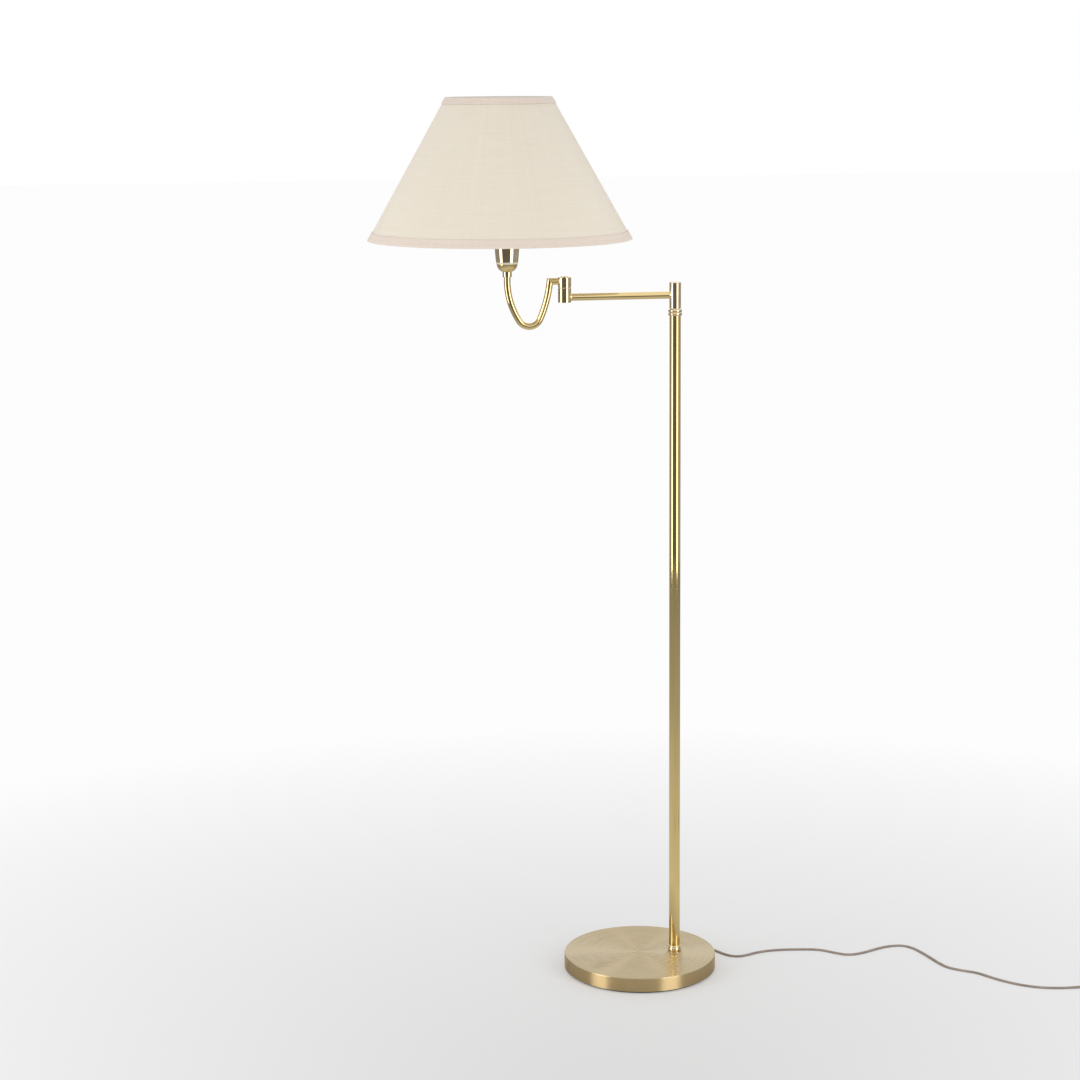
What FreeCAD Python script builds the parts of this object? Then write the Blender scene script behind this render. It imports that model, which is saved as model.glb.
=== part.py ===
import FreeCAD, Part
import math
import os
import Sketcher

# Bridge floor lamp: a weighted disc, an upright pole, a level arm that swivels on the pole, a second
# arm with a gooseneck that swivels on the first, and a tapered cloth shade round the lamp holder.
# Millimetres and degrees. Origin: centre of the disc on the floor, +Z up. In the rest pose both arms
# point along -X, and the pole stands on the +X half of the disc.

os.makedirs("parts", exist_ok=True)
doc = FreeCAD.newDocument("bridge_floor_lamp")
Vector = FreeCAD.Vector
UP = Vector(0, 0, 1)

# ---------------------------------------------------------------- driving sizes
SIZES = (
    ("base_radius", 125.0, "spun brass cover"),
    ("base_top", 25.5, "top of the cover above the floor"),
    ("cover_wall", 1.5, "sheet of the cover"),
    ("cover_edge", 1.8, "rounding of the cover's rim"),
    ("felt_thick", 3.0, "pad under the base"),
    ("felt_inset", 4.0, "pad inside the cover's rim"),
    ("weight_gap", 0.2, "between iron disc and cover"),
    ("exit_angle", 75.0, "compass angle of the cord's exit from +X"),
    ("exit_height", 8.0, "cord's exit above the floor"),
    ("bush_radius", 4.6, "cord bush, where it passes the cover"),
    ("bush_flange", 6.0, "cord bush, flange radius"),
    ("bush_flange_thick", 2.0, "cord bush, flange"),
    ("bush_length", 22.0, "tapered sleeve of the cord bush"),
    ("bush_tip", 3.5, "cord bush, radius at its tip"),
    ("bush_neck", 3.0, "cord bush, part inside the iron disc"),
    ("lead_radius", 1.8, "pair of insulated wires inside the tubes"),
    ("lead_bend", 5.0, "bend of the wires where they turn into a tube"),
    ("wire_way_radius", 3.0, "bored way for the wires through the iron disc"),
    ("pole_offset", 59.0, "pole's axis from the disc's centre"),
    ("pole_radius", 9.0, "pole tube"),
    ("pole_wall", 1.2, "pole tube"),
    ("pole_top", 1084.8, "end of the pole tube above the floor"),
    ("fit_gap", 0.05, "radial gap of threads, plugs and bearings"),
    ("thread_radius", 5.0, "hollow threaded rods"),
    ("thread_bore", 3.5, "bore of the hollow rods"),
    ("recess_radius", 15.0, "recess for the foot nut"),
    ("recess_depth", 17.0, "recess for the foot nut"),
    ("foot_nut_flats", 17.0, "foot nut across its flats"),
    ("foot_nut_height", 6.0, "foot nut"),
    ("foot_washer_radius", 13.0, "foot washer"),
    ("foot_washer_thick", 1.5, "foot washer"),
    ("insert_length", 22.0, "plugs in the pole's two ends"),
    ("insert_thread", 15.0, "thread's depth in those plugs"),
    ("collar_gap", 0.1, "foot collar round the pole"),
    ("foot_bead_radius", 10.4, "foot collar, edges of its lower bead"),
    ("foot_bead_height", 5.0, "foot collar, lower bead"),
    ("foot_lip_radius", 9.9, "foot collar, edges of its upper bead"),
    ("foot_lip_height", 3.1, "foot collar, upper bead"),
    ("bead_bulge", 0.6, "how far each bead swells"),
    ("head_radius", 10.4, "pole head, edges of its beads"),
    ("head_bead_height", 5.4, "pole head, each of two beads"),
    ("slip_washer_thick", 0.8, "slip washers in both swivels"),
    ("swivel_radius", 9.2, "barrel of the pole swivel"),
    ("swivel_height", 42.0, "barrel of the pole swivel"),
    ("swivel_cavity", 7.3, "barrel of the pole swivel, inside"),
    ("swivel_floor_thick", 7.0, "barrel of the pole swivel"),
    ("swivel_cap_thick", 3.0, "cap let into the barrel"),
    ("swivel_nut_flats", 12.0, "nuts of both swivels across their flats"),
    ("swivel_nut_height", 5.0, "nuts of both swivels"),
    ("rod_past_nut", 1.1, "threaded rod past its nut, in both swivels"),
    ("turned_edge", 0.7, "broken edge of the turned pieces"),
    ("arm_rise", 21.5, "arm's axis above the barrel's foot"),
    ("arm_radius", 5.75, "tube of the first arm"),
    ("arm_wall", 1.0, "tube of the first arm"),
    ("inner_reach", 180.0, "pole's axis to the elbow's axis"),
    ("elbow_radius", 10.5, "elbow knuckles"),
    ("elbow_drop", 8.0, "first arm's axis above the elbow's foot"),
    ("lower_knuckle_height", 23.1, "elbow"),
    ("lower_cavity", 8.0, "lower knuckle, inside"),
    ("lower_roof_thick", 5.2, "lower knuckle"),
    ("elbow_plug_thick", 2.0, "plug in the lower knuckle's foot"),
    ("upper_knuckle_height", 16.2, "elbow"),
    ("upper_cavity", 7.5, "upper knuckle, inside"),
    ("upper_floor_thick", 4.3, "upper knuckle"),
    ("upper_roof_thick", 1.5, "upper knuckle"),
    ("button_radius", 6.25, "cap on the elbow"),
    ("button_height", 1.7, "cap on the elbow"),
    ("button_spigot", 4.0, "cap on the elbow, spigot radius"),
    ("button_spigot_length", 4.0, "cap on the elbow"),
    ("outer_washer_radius", 9.8, "slip washer between the knuckles"),
    ("stub_rise", 9.8, "stub's axis above the upper knuckle's foot"),
    ("stub_reach", 23.6, "elbow's axis to the mitred corner"),
    ("neck_radius", 5.25, "stub and gooseneck tube"),
    ("neck_wall", 1.0, "stub and gooseneck tube"),
    ("leg_lean", 6.5, "gooseneck's lean at the mitred corner"),
    ("leg_arc_radius", 204.0, "gooseneck, long bend below the corner"),
    ("leg_arc_turn", 17.5, "gooseneck, turn of that bend"),
    ("bend_radius", 18.8, "gooseneck, tight bend at the bottom"),
    ("rise_arc_radius", 119.0, "gooseneck, long bend below the lamp holder"),
    ("rise_arc_turn", 33.0, "gooseneck, turn of that bend"),
    ("upright_length", 6.0, "gooseneck, straight part below the lock nut"),
    ("lock_nut_radius", 7.3, "lamp holder's lock nut"),
    ("lock_nut_height", 8.9, "lamp holder's lock nut"),
    ("cap_foot_radius", 8.6, "lamp holder's cap at its foot"),
    ("cap_rim_radius", 16.7, "lamp holder's cap at its rim"),
    ("cap_height", 12.1, "lamp holder's cap"),
    ("cap_dome", 15.5, "radius of the cap's dome"),
    ("holder_wall", 1.1, "sheet of the lamp holder"),
    ("neck_in_cap", 3.0, "gooseneck's end inside the cap"),
    ("seam_radius", 17.4, "ring between cap and shell"),
    ("seam_height", 3.0, "ring between cap and shell"),
    ("seam_land", 1.8, "width of that ring"),
    ("shell_radius", 19.35, "lamp holder's shell at its widest"),
    ("shell_taper", 21.0, "tapered height of the shell"),
    ("shell_body", 27.0, "height of the shell up to its thread"),
    ("shell_thread_radius", 18.0, "thread for the ring nut"),
    ("shell_thread_height", 15.0, "thread for the ring nut"),
    ("insulator_flange", 1.9, "ceramic inside, flange height"),
    ("insulator_radius", 14.8, "ceramic inside, body radius"),
    ("insulator_height", 10.0, "ceramic inside"),
    ("screw_shell_radius", 14.4, "brass sleeve that the bulb screws into"),
    ("screw_shell_wall", 0.8, "brass sleeve"),
    ("screw_shell_height", 26.0, "brass sleeve"),
    ("contact_height", 3.0, "spring contact above the ceramic"),
    ("contact_width", 5.0, "spring contact"),
    ("contact_length", 11.0, "spring contact"),
    ("contact_thick", 0.6, "spring contact"),
    ("bulb_base_radius", 13.3, "bulb's screw base"),
    ("bulb_base_height", 25.0, "bulb's screw base"),
    ("bulb_base_wall", 0.8, "bulb's screw base"),
    ("bulb_seat", 19.0, "glass above the bulb's foot"),
    ("bulb_neck_radius", 12.4, "glass in the screw base"),
    ("bulb_neck_height", 7.0, "straight neck of the glass"),
    ("bulb_radius", 30.0, "glass at its widest"),
    ("bulb_shoulder", 22.0, "radius where neck and globe meet"),
    ("bulb_centre", 58.5, "globe's centre above the glass's foot"),
    ("bulb_flare", 60.0, "hollow curve of the neck"),
    ("glass_wall", 0.9, "glass"),
    ("saddle_radius", 29.0, "flat ring that carries the harp"),
    ("saddle_thick", 1.5, "flat ring that carries the harp"),
    ("ring_nut_radius", 23.0, "nut that clamps the saddle"),
    ("ring_nut_height", 7.0, "nut that clamps the saddle"),
    ("harp_wire", 1.5, "harp, wire radius"),
    ("harp_foot", 26.0, "harp, half its width at the saddle"),
    ("harp_width", 40.0, "harp, half its greatest width"),
    ("harp_crown", 15.0, "harp, half its width at the crown"),
    ("harp_foot_rise", 12.0, "harp, upright part above the saddle"),
    ("harp_flare_rise", 36.0, "harp, height at which it is widest"),
    ("harp_crown_drop", 56.0, "harp, height of its slanting shoulders"),
    ("harp_bend", 12.0, "harp, radius of its bends"),
    ("stud_collar_radius", 5.0, "stud on the harp"),
    ("stud_collar_height", 5.0, "stud on the harp"),
    ("stud_radius", 3.0, "stud on the harp"),
    ("stud_height", 12.0, "stud above its collar"),
    ("hub_radius", 12.0, "hub of the shade's frame"),
    ("hub_thick", 2.0, "hub of the shade's frame"),
    ("hub_drop", 30.0, "hub below the shade's top"),
    ("finial_radius", 6.0, "nut on top of the hub"),
    ("finial_height", 9.0, "nut on top of the hub"),
    ("shade_lean", 11.0, "shade's axis beyond the lamp holder's axis"),
    ("shade_rise", 8.9, "shade's foot above the shell's thread"),
    ("shade_height", 223.0, "shade"),
    ("shade_foot_radius", 209.5, "outside of the lower trim"),
    ("shade_top_radius", 84.5, "outside of the upper trim"),
    ("cover_thick", 1.0, "cloth and its backing"),
    ("trim_thick", 1.2, "bands at both rims"),
    ("trim_gap", 0.2, "between bands, cloth and frame"),
    ("foot_trim_height", 13.3, "band at the lower rim"),
    ("top_trim_height", 10.5, "band at the upper rim"),
    ("frame_wire", 1.5, "rings of the shade's frame, wire radius"),
    ("frame_inset", 2.5, "rings inside from the rims"),
    ("spoke_wire", 1.25, "spokes of the shade's frame, wire radius"),
    ("cord_diameter", 5.4, "width of the flat twin flex"),
    ("cord_lie", 0.05, "cord above the floor"),
    ("cord_heading", -6.0, "compass direction of the cord at its switch"),
    ("switch_place_x", 716.0, "cord's entry into the switch"),
    ("switch_place_y", -235.3, "cord's entry into the switch"),
    ("switch_length", 58.0, "hand switch on the cord"),
    ("switch_width", 25.0, "hand switch, widest"),
    ("switch_end_width", 13.0, "hand switch, at its ends"),
    ("switch_shoulder", 14.0, "hand switch, length of its tapered ends"),
    ("switch_split", 7.0, "height of the lower shell"),
    ("switch_height", 17.0, "hand switch"),
    ("switch_wall", 1.8, "hand switch"),
    ("switch_edge", 1.6, "hand switch, rounded edges"),
    ("cord_hole_gap", 0.3, "round the cord in the switch's ends"),
    ("rocker_length", 18.0, "switch's rocker"),
    ("rocker_width", 10.4, "switch's rocker"),
    ("rocker_height", 8.2, "switch's rocker"),
    ("rocker_pivot", 12.0, "rocker's pivot above the floor"),
    ("rocker_drop", 3.0, "rocker below its pivot"),
    ("rocker_tilt", 5.0, "rocker from level when the lamp is off"),
    ("rocker_gap", 0.9, "rocker to the edge of its window"),
    ("rocker_pin", 1.2, "rocker's pivot pin, radius"),
    ("cheek_thick", 1.8, "cheeks that hold the pivot pin"),
    ("cheek_length", 8.0, "cheeks that hold the pivot pin"),
    ("screw_place_x", 16.5, "switch screws from its middle, along the cord"),
    ("screw_place_y", 6.8, "switch screws from its middle, across"),
    ("screw_boss", 2.6, "bosses for the switch screws"),
    ("screw_radius", 1.3, "switch screws"),
    ("screw_head_radius", 2.3, "switch screws"),
    ("screw_head_height", 1.6, "switch screws"),
    ("screw_length", 11.0, "switch screws"),
    ("terminal_length", 7.0, "switch terminals"),
    ("terminal_width", 4.0, "switch terminals"),
    ("terminal_height", 4.5, "switch terminals"),
    ("coil_radius", 39.0, "outermost turn of the put-away cord"),
    ("coil_pitch", 6.0, "from turn to turn and from layer to layer"),
    ("coil_loops", 5.25, "turns in all, in two layers"),
    ("settle_run", 36.0, "cord between switch and coil"),
    ("plug_run", 36.0, "cord between coil and plug"),
    ("plug_length", 36.0, "plug body"),
    ("plug_width", 26.0, "plug body"),
    ("plug_rear_width", 11.0, "plug body at the cord"),
    ("plug_face_width", 23.0, "plug body at its pins"),
    ("plug_shoulder", 20.0, "plug body, length of its tapered rear"),
    ("plug_chamfer", 5.0, "plug body, length of its tapered front"),
    ("plug_height", 14.0, "plug body"),
    ("plug_edge", 2.2, "plug body, rounded edges"),
    ("pin_radius", 2.0, "plug pins"),
    ("pin_root_radius", 2.4, "plug pins, inside the body"),
    ("pin_length", 19.0, "plug pins"),
    ("pin_spacing", 18.6, "plug pins"),
    ("pin_seat", 6.0, "plug pins, length inside the body"),
)
lamp = doc.addObject("Spreadsheet::Sheet", "lamp")
for row, (alias, number, note) in enumerate(SIZES, 1):
    lamp.set(f"A{row}", alias)
    lamp.set(f"B{row}", str(number))
    lamp.set(f"C{row}", note)
    lamp.setAlias(f"B{row}", alias)

# ---------------------------------------------------------------- places that follow from the sizes
PLACES = (
    ("cover_underside", "lamp.base_top - lamp.cover_wall"),
    ("weight_radius", "lamp.base_radius - lamp.cover_wall - lamp.weight_gap"),
    ("exit_x", "lamp.base_radius * cos(lamp.exit_angle * 1 deg)"),
    ("exit_y", "lamp.base_radius * sin(lamp.exit_angle * 1 deg)"),
    ("bush_end", "lamp.base_radius + lamp.bush_flange_thick + lamp.bush_length"),
    ("bush_back", "lamp.base_radius - lamp.cover_wall - lamp.bush_neck"),
    ("back_x", "at.bush_back * cos(lamp.exit_angle * 1 deg)"),
    ("back_y", "at.bush_back * sin(lamp.exit_angle * 1 deg)"),
    ("recess_roof", "lamp.felt_thick + lamp.recess_depth"),
    ("foot_nut_top", "at.recess_roof - lamp.foot_washer_thick"),
    ("nipple_foot", "at.foot_nut_top - lamp.foot_nut_height - lamp.rod_past_nut"),
    ("insert_radius", "lamp.pole_radius - lamp.pole_wall - lamp.fit_gap"),
    ("threaded_hole", "lamp.thread_radius + lamp.fit_gap"),
    ("swivel_foot", "lamp.pole_top + 2 * lamp.head_bead_height + lamp.slip_washer_thick"),
    ("swivel_inside", "at.swivel_foot + lamp.swivel_floor_thick"),
    ("swivel_nut_foot", "at.swivel_inside + lamp.slip_washer_thick"),
    ("swivel_rod_top", "at.swivel_nut_foot + lamp.swivel_nut_height + lamp.rod_past_nut"),
    ("arm_axis", "at.swivel_foot + lamp.arm_rise"),
    ("elbow_x", "lamp.pole_offset - lamp.inner_reach"),
    ("elbow_foot", "at.arm_axis - lamp.elbow_drop"),
    ("elbow_split", "at.elbow_foot + lamp.lower_knuckle_height"),
    ("lower_roof", "at.elbow_split - lamp.lower_roof_thick"),
    ("elbow_nut_top", "at.lower_roof - lamp.slip_washer_thick"),
    ("elbow_rod_foot", "at.elbow_nut_top - lamp.swivel_nut_height - lamp.rod_past_nut"),
    ("upper_foot", "at.elbow_split + lamp.slip_washer_thick"),
    ("upper_roof", "at.upper_foot + lamp.upper_knuckle_height"),
    ("stub_axis", "at.upper_foot + lamp.stub_rise"),
    ("lead_joint", "at.elbow_rod_foot + 15"),
    ("corner_x", "at.elbow_x - lamp.stub_reach"),
    ("low_lean", "lamp.leg_lean + lamp.leg_arc_turn"),
    ("bend_x", "at.corner_x - lamp.leg_arc_radius * (cos(lamp.leg_lean * 1 deg) - cos(at.low_lean * 1 deg))"
               " - lamp.bend_radius * cos(at.low_lean * 1 deg)"),
    ("bend_low", "at.stub_axis - lamp.leg_arc_radius * (sin(at.low_lean * 1 deg) - sin(lamp.leg_lean * 1 deg))"
                 " - lamp.bend_radius * (1 - sin(at.low_lean * 1 deg))"),
    ("socket_x", "at.bend_x - lamp.bend_radius * cos(lamp.rise_arc_turn * 1 deg)"
                 " - lamp.rise_arc_radius * (1 - cos(lamp.rise_arc_turn * 1 deg))"),
    ("upright_foot", "at.bend_low + lamp.bend_radius * (1 - sin(lamp.rise_arc_turn * 1 deg))"
                     " + lamp.rise_arc_radius * sin(lamp.rise_arc_turn * 1 deg)"),
    ("lock_nut_foot", "at.upright_foot + lamp.upright_length"),
    ("cap_foot", "at.lock_nut_foot + lamp.lock_nut_height"),
    ("neck_end", "at.cap_foot + lamp.neck_in_cap"),
    ("seam_foot", "at.cap_foot + lamp.cap_height"),
    ("shell_foot", "at.seam_foot + lamp.seam_height"),
    ("shell_step", "at.shell_foot + lamp.shell_body"),
    ("insulator_top", "at.shell_foot + lamp.insulator_height"),
    ("bulb_foot", "at.insulator_top + lamp.contact_height"),
    ("ring_nut_foot", "at.shell_step + lamp.saddle_thick"),
    ("shade_x", "at.socket_x - lamp.shade_lean"),
    ("shade_foot", "at.shell_step + lamp.shade_rise"),
    ("shade_top", "at.shade_foot + lamp.shade_height"),
    ("hub_foot", "at.shade_top - lamp.hub_drop"),
    ("crown_height", "at.hub_foot - lamp.stud_collar_height - lamp.harp_wire"),
    ("taper", "(lamp.shade_foot_radius - lamp.shade_top_radius) / lamp.shade_height"),
    ("cover_foot_radius", "lamp.shade_foot_radius - lamp.trim_thick - lamp.trim_gap"),
    ("cover_top_radius", "lamp.shade_top_radius - lamp.trim_thick - lamp.trim_gap"),
    ("ring_clearance", "lamp.cover_thick + lamp.frame_wire * sqrt(1 + at.taper ^ 2) + lamp.trim_gap"),
    ("foot_ring_radius", "at.cover_foot_radius - at.taper * lamp.frame_inset - at.ring_clearance"),
    ("top_ring_radius", "at.cover_top_radius + at.taper * lamp.frame_inset - at.ring_clearance"),
    ("top_ring_height", "at.shade_top - lamp.frame_inset"),
    ("hub_middle", "at.hub_foot + lamp.hub_thick / 2"),
    ("spoke_start", "lamp.hub_radius - 1"),
    ("spoke_tilt", "atan2(at.top_ring_radius - at.spoke_start; at.top_ring_height - at.hub_middle)"),
    ("spoke_length", "hypot(at.top_ring_radius - at.spoke_start; at.top_ring_height - at.hub_middle)"),
    ("cord_low", "lamp.cord_diameter / 2 + lamp.cord_lie"),
    ("along_x", "cos(lamp.cord_heading * 1 deg)"),
    ("along_y", "sin(lamp.cord_heading * 1 deg)"),
    ("switch_mid_x", "lamp.switch_place_x + at.along_x * lamp.switch_length / 2"),
    ("switch_mid_y", "lamp.switch_place_y + at.along_y * lamp.switch_length / 2"),
    ("coil_start_x", "lamp.switch_place_x + at.along_x * (lamp.switch_length + lamp.settle_run)"),
    ("coil_start_y", "lamp.switch_place_y + at.along_y * (lamp.switch_length + lamp.settle_run)"),
    ("coil_x", "at.coil_start_x - at.along_y * lamp.coil_radius"),
    ("coil_y", "at.coil_start_y + at.along_x * lamp.coil_radius"),
    ("plug_x", "at.coil_x + at.along_x * lamp.coil_radius - at.along_y * lamp.plug_run"),
    ("plug_y", "at.coil_y + at.along_y * lamp.coil_radius + at.along_x * lamp.plug_run"),
    ("plug_turn", "lamp.cord_heading + 90"),
)
at = doc.addObject("Spreadsheet::Sheet", "at")
for row, (alias, formula) in enumerate(PLACES, 1):
    at.set(f"A{row}", alias)
    at.setAlias(f"B{row}", alias)
    at.set(f"B{row}", "=" + formula.replace("at.", ""))
doc.recompute()


def value(expression):
    """The number that an expression in the sheets' names has now."""
    result = lamp.evalExpression(expression)
    return float(getattr(result, "Value", result))


def place(obj, x="0", y="0", z="0", compass="0", tilt="0"):
    """Binds an object's place, and leans its own upright axis by tilt towards a compass angle."""
    obj.setExpression("Placement.Base.x", x)
    obj.setExpression("Placement.Base.y", y)
    obj.setExpression("Placement.Base.z", z)
    if tilt != "0":
        obj.setExpression("Placement.Rotation.Axis.x", f"-sin(({compass}) * 1 deg)")
        obj.setExpression("Placement.Rotation.Axis.y", f"cos(({compass}) * 1 deg)")
        obj.setExpression("Placement.Rotation.Axis.z", "0")
        obj.setExpression("Placement.Rotation.Angle", tilt)
    return obj


def draw(sketch, outline):
    """Draws a closed outline of lines and arcs, every corner and radius bound to its expression.

    A corner is (radius, height). A third entry makes the edge that ends there an arc of that radius,
    which swells outwards, or inwards with a fourth entry, "hollow"."""
    corners = [Vector(value(corner[0]), value(corner[1]), 0) for corner in outline]
    ends = []
    for index, corner in enumerate(outline):
        start, end = corners[index - 1], corners[index]
        if len(corner) == 2:
            sketch.addGeometry(Part.LineSegment(start, end), False)
            ends.append((1, 2))
            continue
        hollow = len(corner) == 4
        radius = value(corner[2])
        chord = end - start
        left = Vector(-chord.y, chord.x, 0).normalize()
        reach = math.sqrt(radius ** 2 - (chord.Length / 2) ** 2)
        centre = (start + end) * 0.5 + left * (-reach if hollow else reach)
        first, last = (end, start) if hollow else (start, end)
        angles = [math.atan2(point.y - centre.y, point.x - centre.x) for point in (first, last)]
        sketch.addGeometry(Part.ArcOfCircle(Part.Circle(centre, UP, radius), *angles), False)
        ends.append((2, 1) if hollow else (1, 2))
    for index, corner in enumerate(outline):
        onward = (index + 1) % len(outline)
        sketch.addConstraint(Sketcher.Constraint("Coincident", index, ends[index][1], onward, ends[onward][0]))
        for kind, axis, expression in (("DistanceX", -2, corner[0]), ("DistanceY", -1, corner[1])):
            if expression == "0":
                sketch.addConstraint(Sketcher.Constraint("PointOnObject", index, ends[index][1], axis))
                continue
            bound = sketch.addConstraint(
                Sketcher.Constraint(kind, -1, 1, index, ends[index][1], value(expression)))
            sketch.setExpression(f"Constraints[{bound}]", expression)
        if len(corner) > 2:
            bound = sketch.addConstraint(Sketcher.Constraint("Radius", index, value(corner[2])))
            sketch.setExpression(f"Constraints[{bound}]", corner[2])


def turned(name, outline, x="0", y="0", z="0", compass="0", tilt="0"):
    """A piece turned on a lathe, from its outline in radius and height along its own axis."""
    body = doc.addObject("PartDesign::Body", name)
    sketch = body.newObject("Sketcher::SketchObject", name + "_outline")
    plane = next(part for part in body.Origin.OriginFeatures if part.Role == "XZ_Plane")
    sketch.AttachmentSupport = [(plane, "")]
    sketch.MapMode = "FlatFace"
    draw(sketch, outline)
    spun = body.newObject("PartDesign::Revolution", name + "_spun")
    spun.Profile = sketch
    spun.ReferenceAxis = (sketch, ["V_Axis"])
    spun.Angle = 360
    sketch.Visibility = False
    return place(body, x, y, z, compass, tilt)


def sleeve(name, outer, inner, height, **where):
    """A plain tube, washer or disc. inner is "0" for a solid one."""
    return turned(name, [(inner, "0"), (outer, "0"), (outer, height), (inner, height)], **where)


def rod(name, radius, length, x="0", y="0", z="0", compass="0", tilt="0"):
    """A straight round bar, also used as a drill."""
    bar = doc.addObject("Part::Cylinder", name)
    bar.setExpression("Radius", radius)
    bar.setExpression("Height", length)
    return place(bar, x, y, z, compass, tilt)


def cone(name, foot_radius, top_radius, height, **where):
    """A solid frustum."""
    frustum = doc.addObject("Part::Cone", name)
    frustum.setExpression("Radius1", foot_radius)
    frustum.setExpression("Radius2", top_radius)
    frustum.setExpression("Height", height)
    return place(frustum, **where)


def cut(name, blank, *tools):
    """Takes the tools out of the blank, one after the other."""
    for index, tool in enumerate(tools, 1):
        step = doc.addObject("Part::Cut", name if index == len(tools) else f"{name}_step_{index}")
        step.Base = blank
        step.Tool = tool
        blank = step
    return blank


def join(name, *solids):
    """Joins solids that are one piece."""
    joined = doc.addObject("Part::MultiFuse", name)
    joined.Shapes = list(solids)
    return joined


def group(name, *solids):
    """Holds solids that stay separate, such as two like washers."""
    held = doc.addObject("Part::Compound", name)
    held.Links = list(solids)
    return held


def nut(name, flats, height, hole, **where):
    """A hexagon nut, from its width across the flats."""
    blank = doc.addObject("Part::Prism", name + "_blank")
    blank.Polygon = 6
    blank.setExpression("Circumradius", f"{flats} / 2 / cos(30 deg)")
    blank.setExpression("Height", height)
    place(blank, **where)
    return cut(name, blank, rod(name + "_drill", hole, height, **where))


def formed(name, shape, x="0", y="0", z="0", compass=None):
    """A piece whose shape is worked out here, with its place bound to the sheets."""
    feature = doc.addObject("Part::Feature", name)
    feature.Shape = shape
    place(feature, x, y, z)
    if compass is not None:
        feature.setExpression("Placement.Rotation.Axis.z", "1")
        feature.setExpression("Placement.Rotation.Angle", compass)
    return feature


def bent(points, radii):
    """A path of straight runs with an arc of each radius at its inner points."""
    edges = []
    here = points[0]
    for before, corner, after, radius in zip(points, points[1:], points[2:], radii):
        way_in = (corner - before).normalize()
        way_out = (after - corner).normalize()
        turn = way_in.getAngle(way_out)
        setback = radius * math.tan(turn / 2)
        first = corner - way_in * setback
        last = corner + way_out * setback
        chord_middle = (first + last) * 0.5
        share = math.cos(turn / 2) * math.tan(turn / 4) / math.sin(turn / 2)
        middle = chord_middle + (corner - chord_middle) * share
        if (first - here).Length > 1e-4:
            edges.append(Part.LineSegment(here, first).toShape())
        edges.append(Part.Arc(first, middle, last).toShape())
        here = last
    edges.append(Part.LineSegment(here, points[-1]).toShape())
    return Part.Wire(edges)


def slack_radii(points):
    """The radius of each bend of a free cord: as large as its two runs allow."""
    radii = []
    for before, corner, after in zip(points, points[1:], points[2:]):
        turn = (corner - before).getAngle(after - corner)
        shorter = min((corner - before).Length, (after - corner).Length)
        radii.append(0.45 * shorter / math.tan(turn / 2))
    return radii


def swept(path, radius, inner=0.0):
    """A round bar along a path, or a tube with an inner radius."""
    start = path.OrderedEdges[0]
    point = start.valueAt(start.FirstParameter)
    ahead = start.tangentAt(start.FirstParameter)
    solids = []
    for size in (radius, inner):
        if not size:
            continue
        pipe = Part.BRepOffsetAPI.MakePipeShell(path)
        pipe.add(Part.Wire(Part.makeCircle(size, point, ahead)))
        pipe.build()
        pipe.makeSolid()
        solids.append(pipe.shape())
    return solids[0].cut(solids[1]) if inner else solids[0]


def biarc(start, ahead, end, onward):
    """Two arcs that leave start in one direction and reach end in another, or one straight run."""
    span = end - start
    if span.cross(ahead).Length < 1e-6:
        return [Part.LineSegment(start, end).toShape()]
    both = ahead + onward
    bend = 2 * (1 - ahead.dot(onward))
    product = span.dot(both)
    if bend > 1e-9:
        handle = (math.sqrt(product ** 2 + bend * span.dot(span)) - product) / bend
    else:
        handle = span.dot(span) / (2 * product)
    near = start + ahead * handle
    far = end - onward * handle
    joint = (near + far) * 0.5
    edges = []
    for first, corner, last in ((start, near, joint), (joint, far, end)):
        turn = (corner - first).getAngle(last - corner)
        chord_middle = (first + last) * 0.5
        share = math.cos(turn / 2) * math.tan(turn / 4) / math.sin(turn / 2)
        edges.append(Part.Arc(first, chord_middle + (corner - chord_middle) * share, last).toShape())
    return edges


pieces = []


def finish(label, obj):
    """Names a finished piece. The label is its node and its file."""
    obj.Label = label
    pieces.append(obj)


# ---------------------------------------------------------------- base
# Spun brass cover: a shallow pan upside down, drilled for the pole's threaded rod and the cord bush.
cover_pan = turned("cover_pan", [
    ("lamp.base_radius - lamp.cover_wall", "lamp.felt_thick"),
    ("lamp.base_radius", "lamp.felt_thick"),
    ("lamp.base_radius", "lamp.base_top - lamp.cover_edge"),
    ("lamp.base_radius - lamp.cover_edge", "lamp.base_top", "lamp.cover_edge"),
    ("0", "lamp.base_top"),
    ("0", "at.cover_underside"),
    ("lamp.base_radius - lamp.cover_wall", "at.cover_underside"),
])
pole_hole = rod("pole_hole", "at.threaded_hole", "lamp.base_top", x="lamp.pole_offset")
bush_hole = rod("bush_hole", "lamp.bush_radius + lamp.fit_gap", "lamp.base_radius",
                x="at.exit_x * 0.9", y="at.exit_y * 0.9", z="lamp.exit_height",
                compass="lamp.exit_angle", tilt="90")
finish("base_cover", cut("cover", cover_pan, pole_hole, bush_hole))

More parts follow.
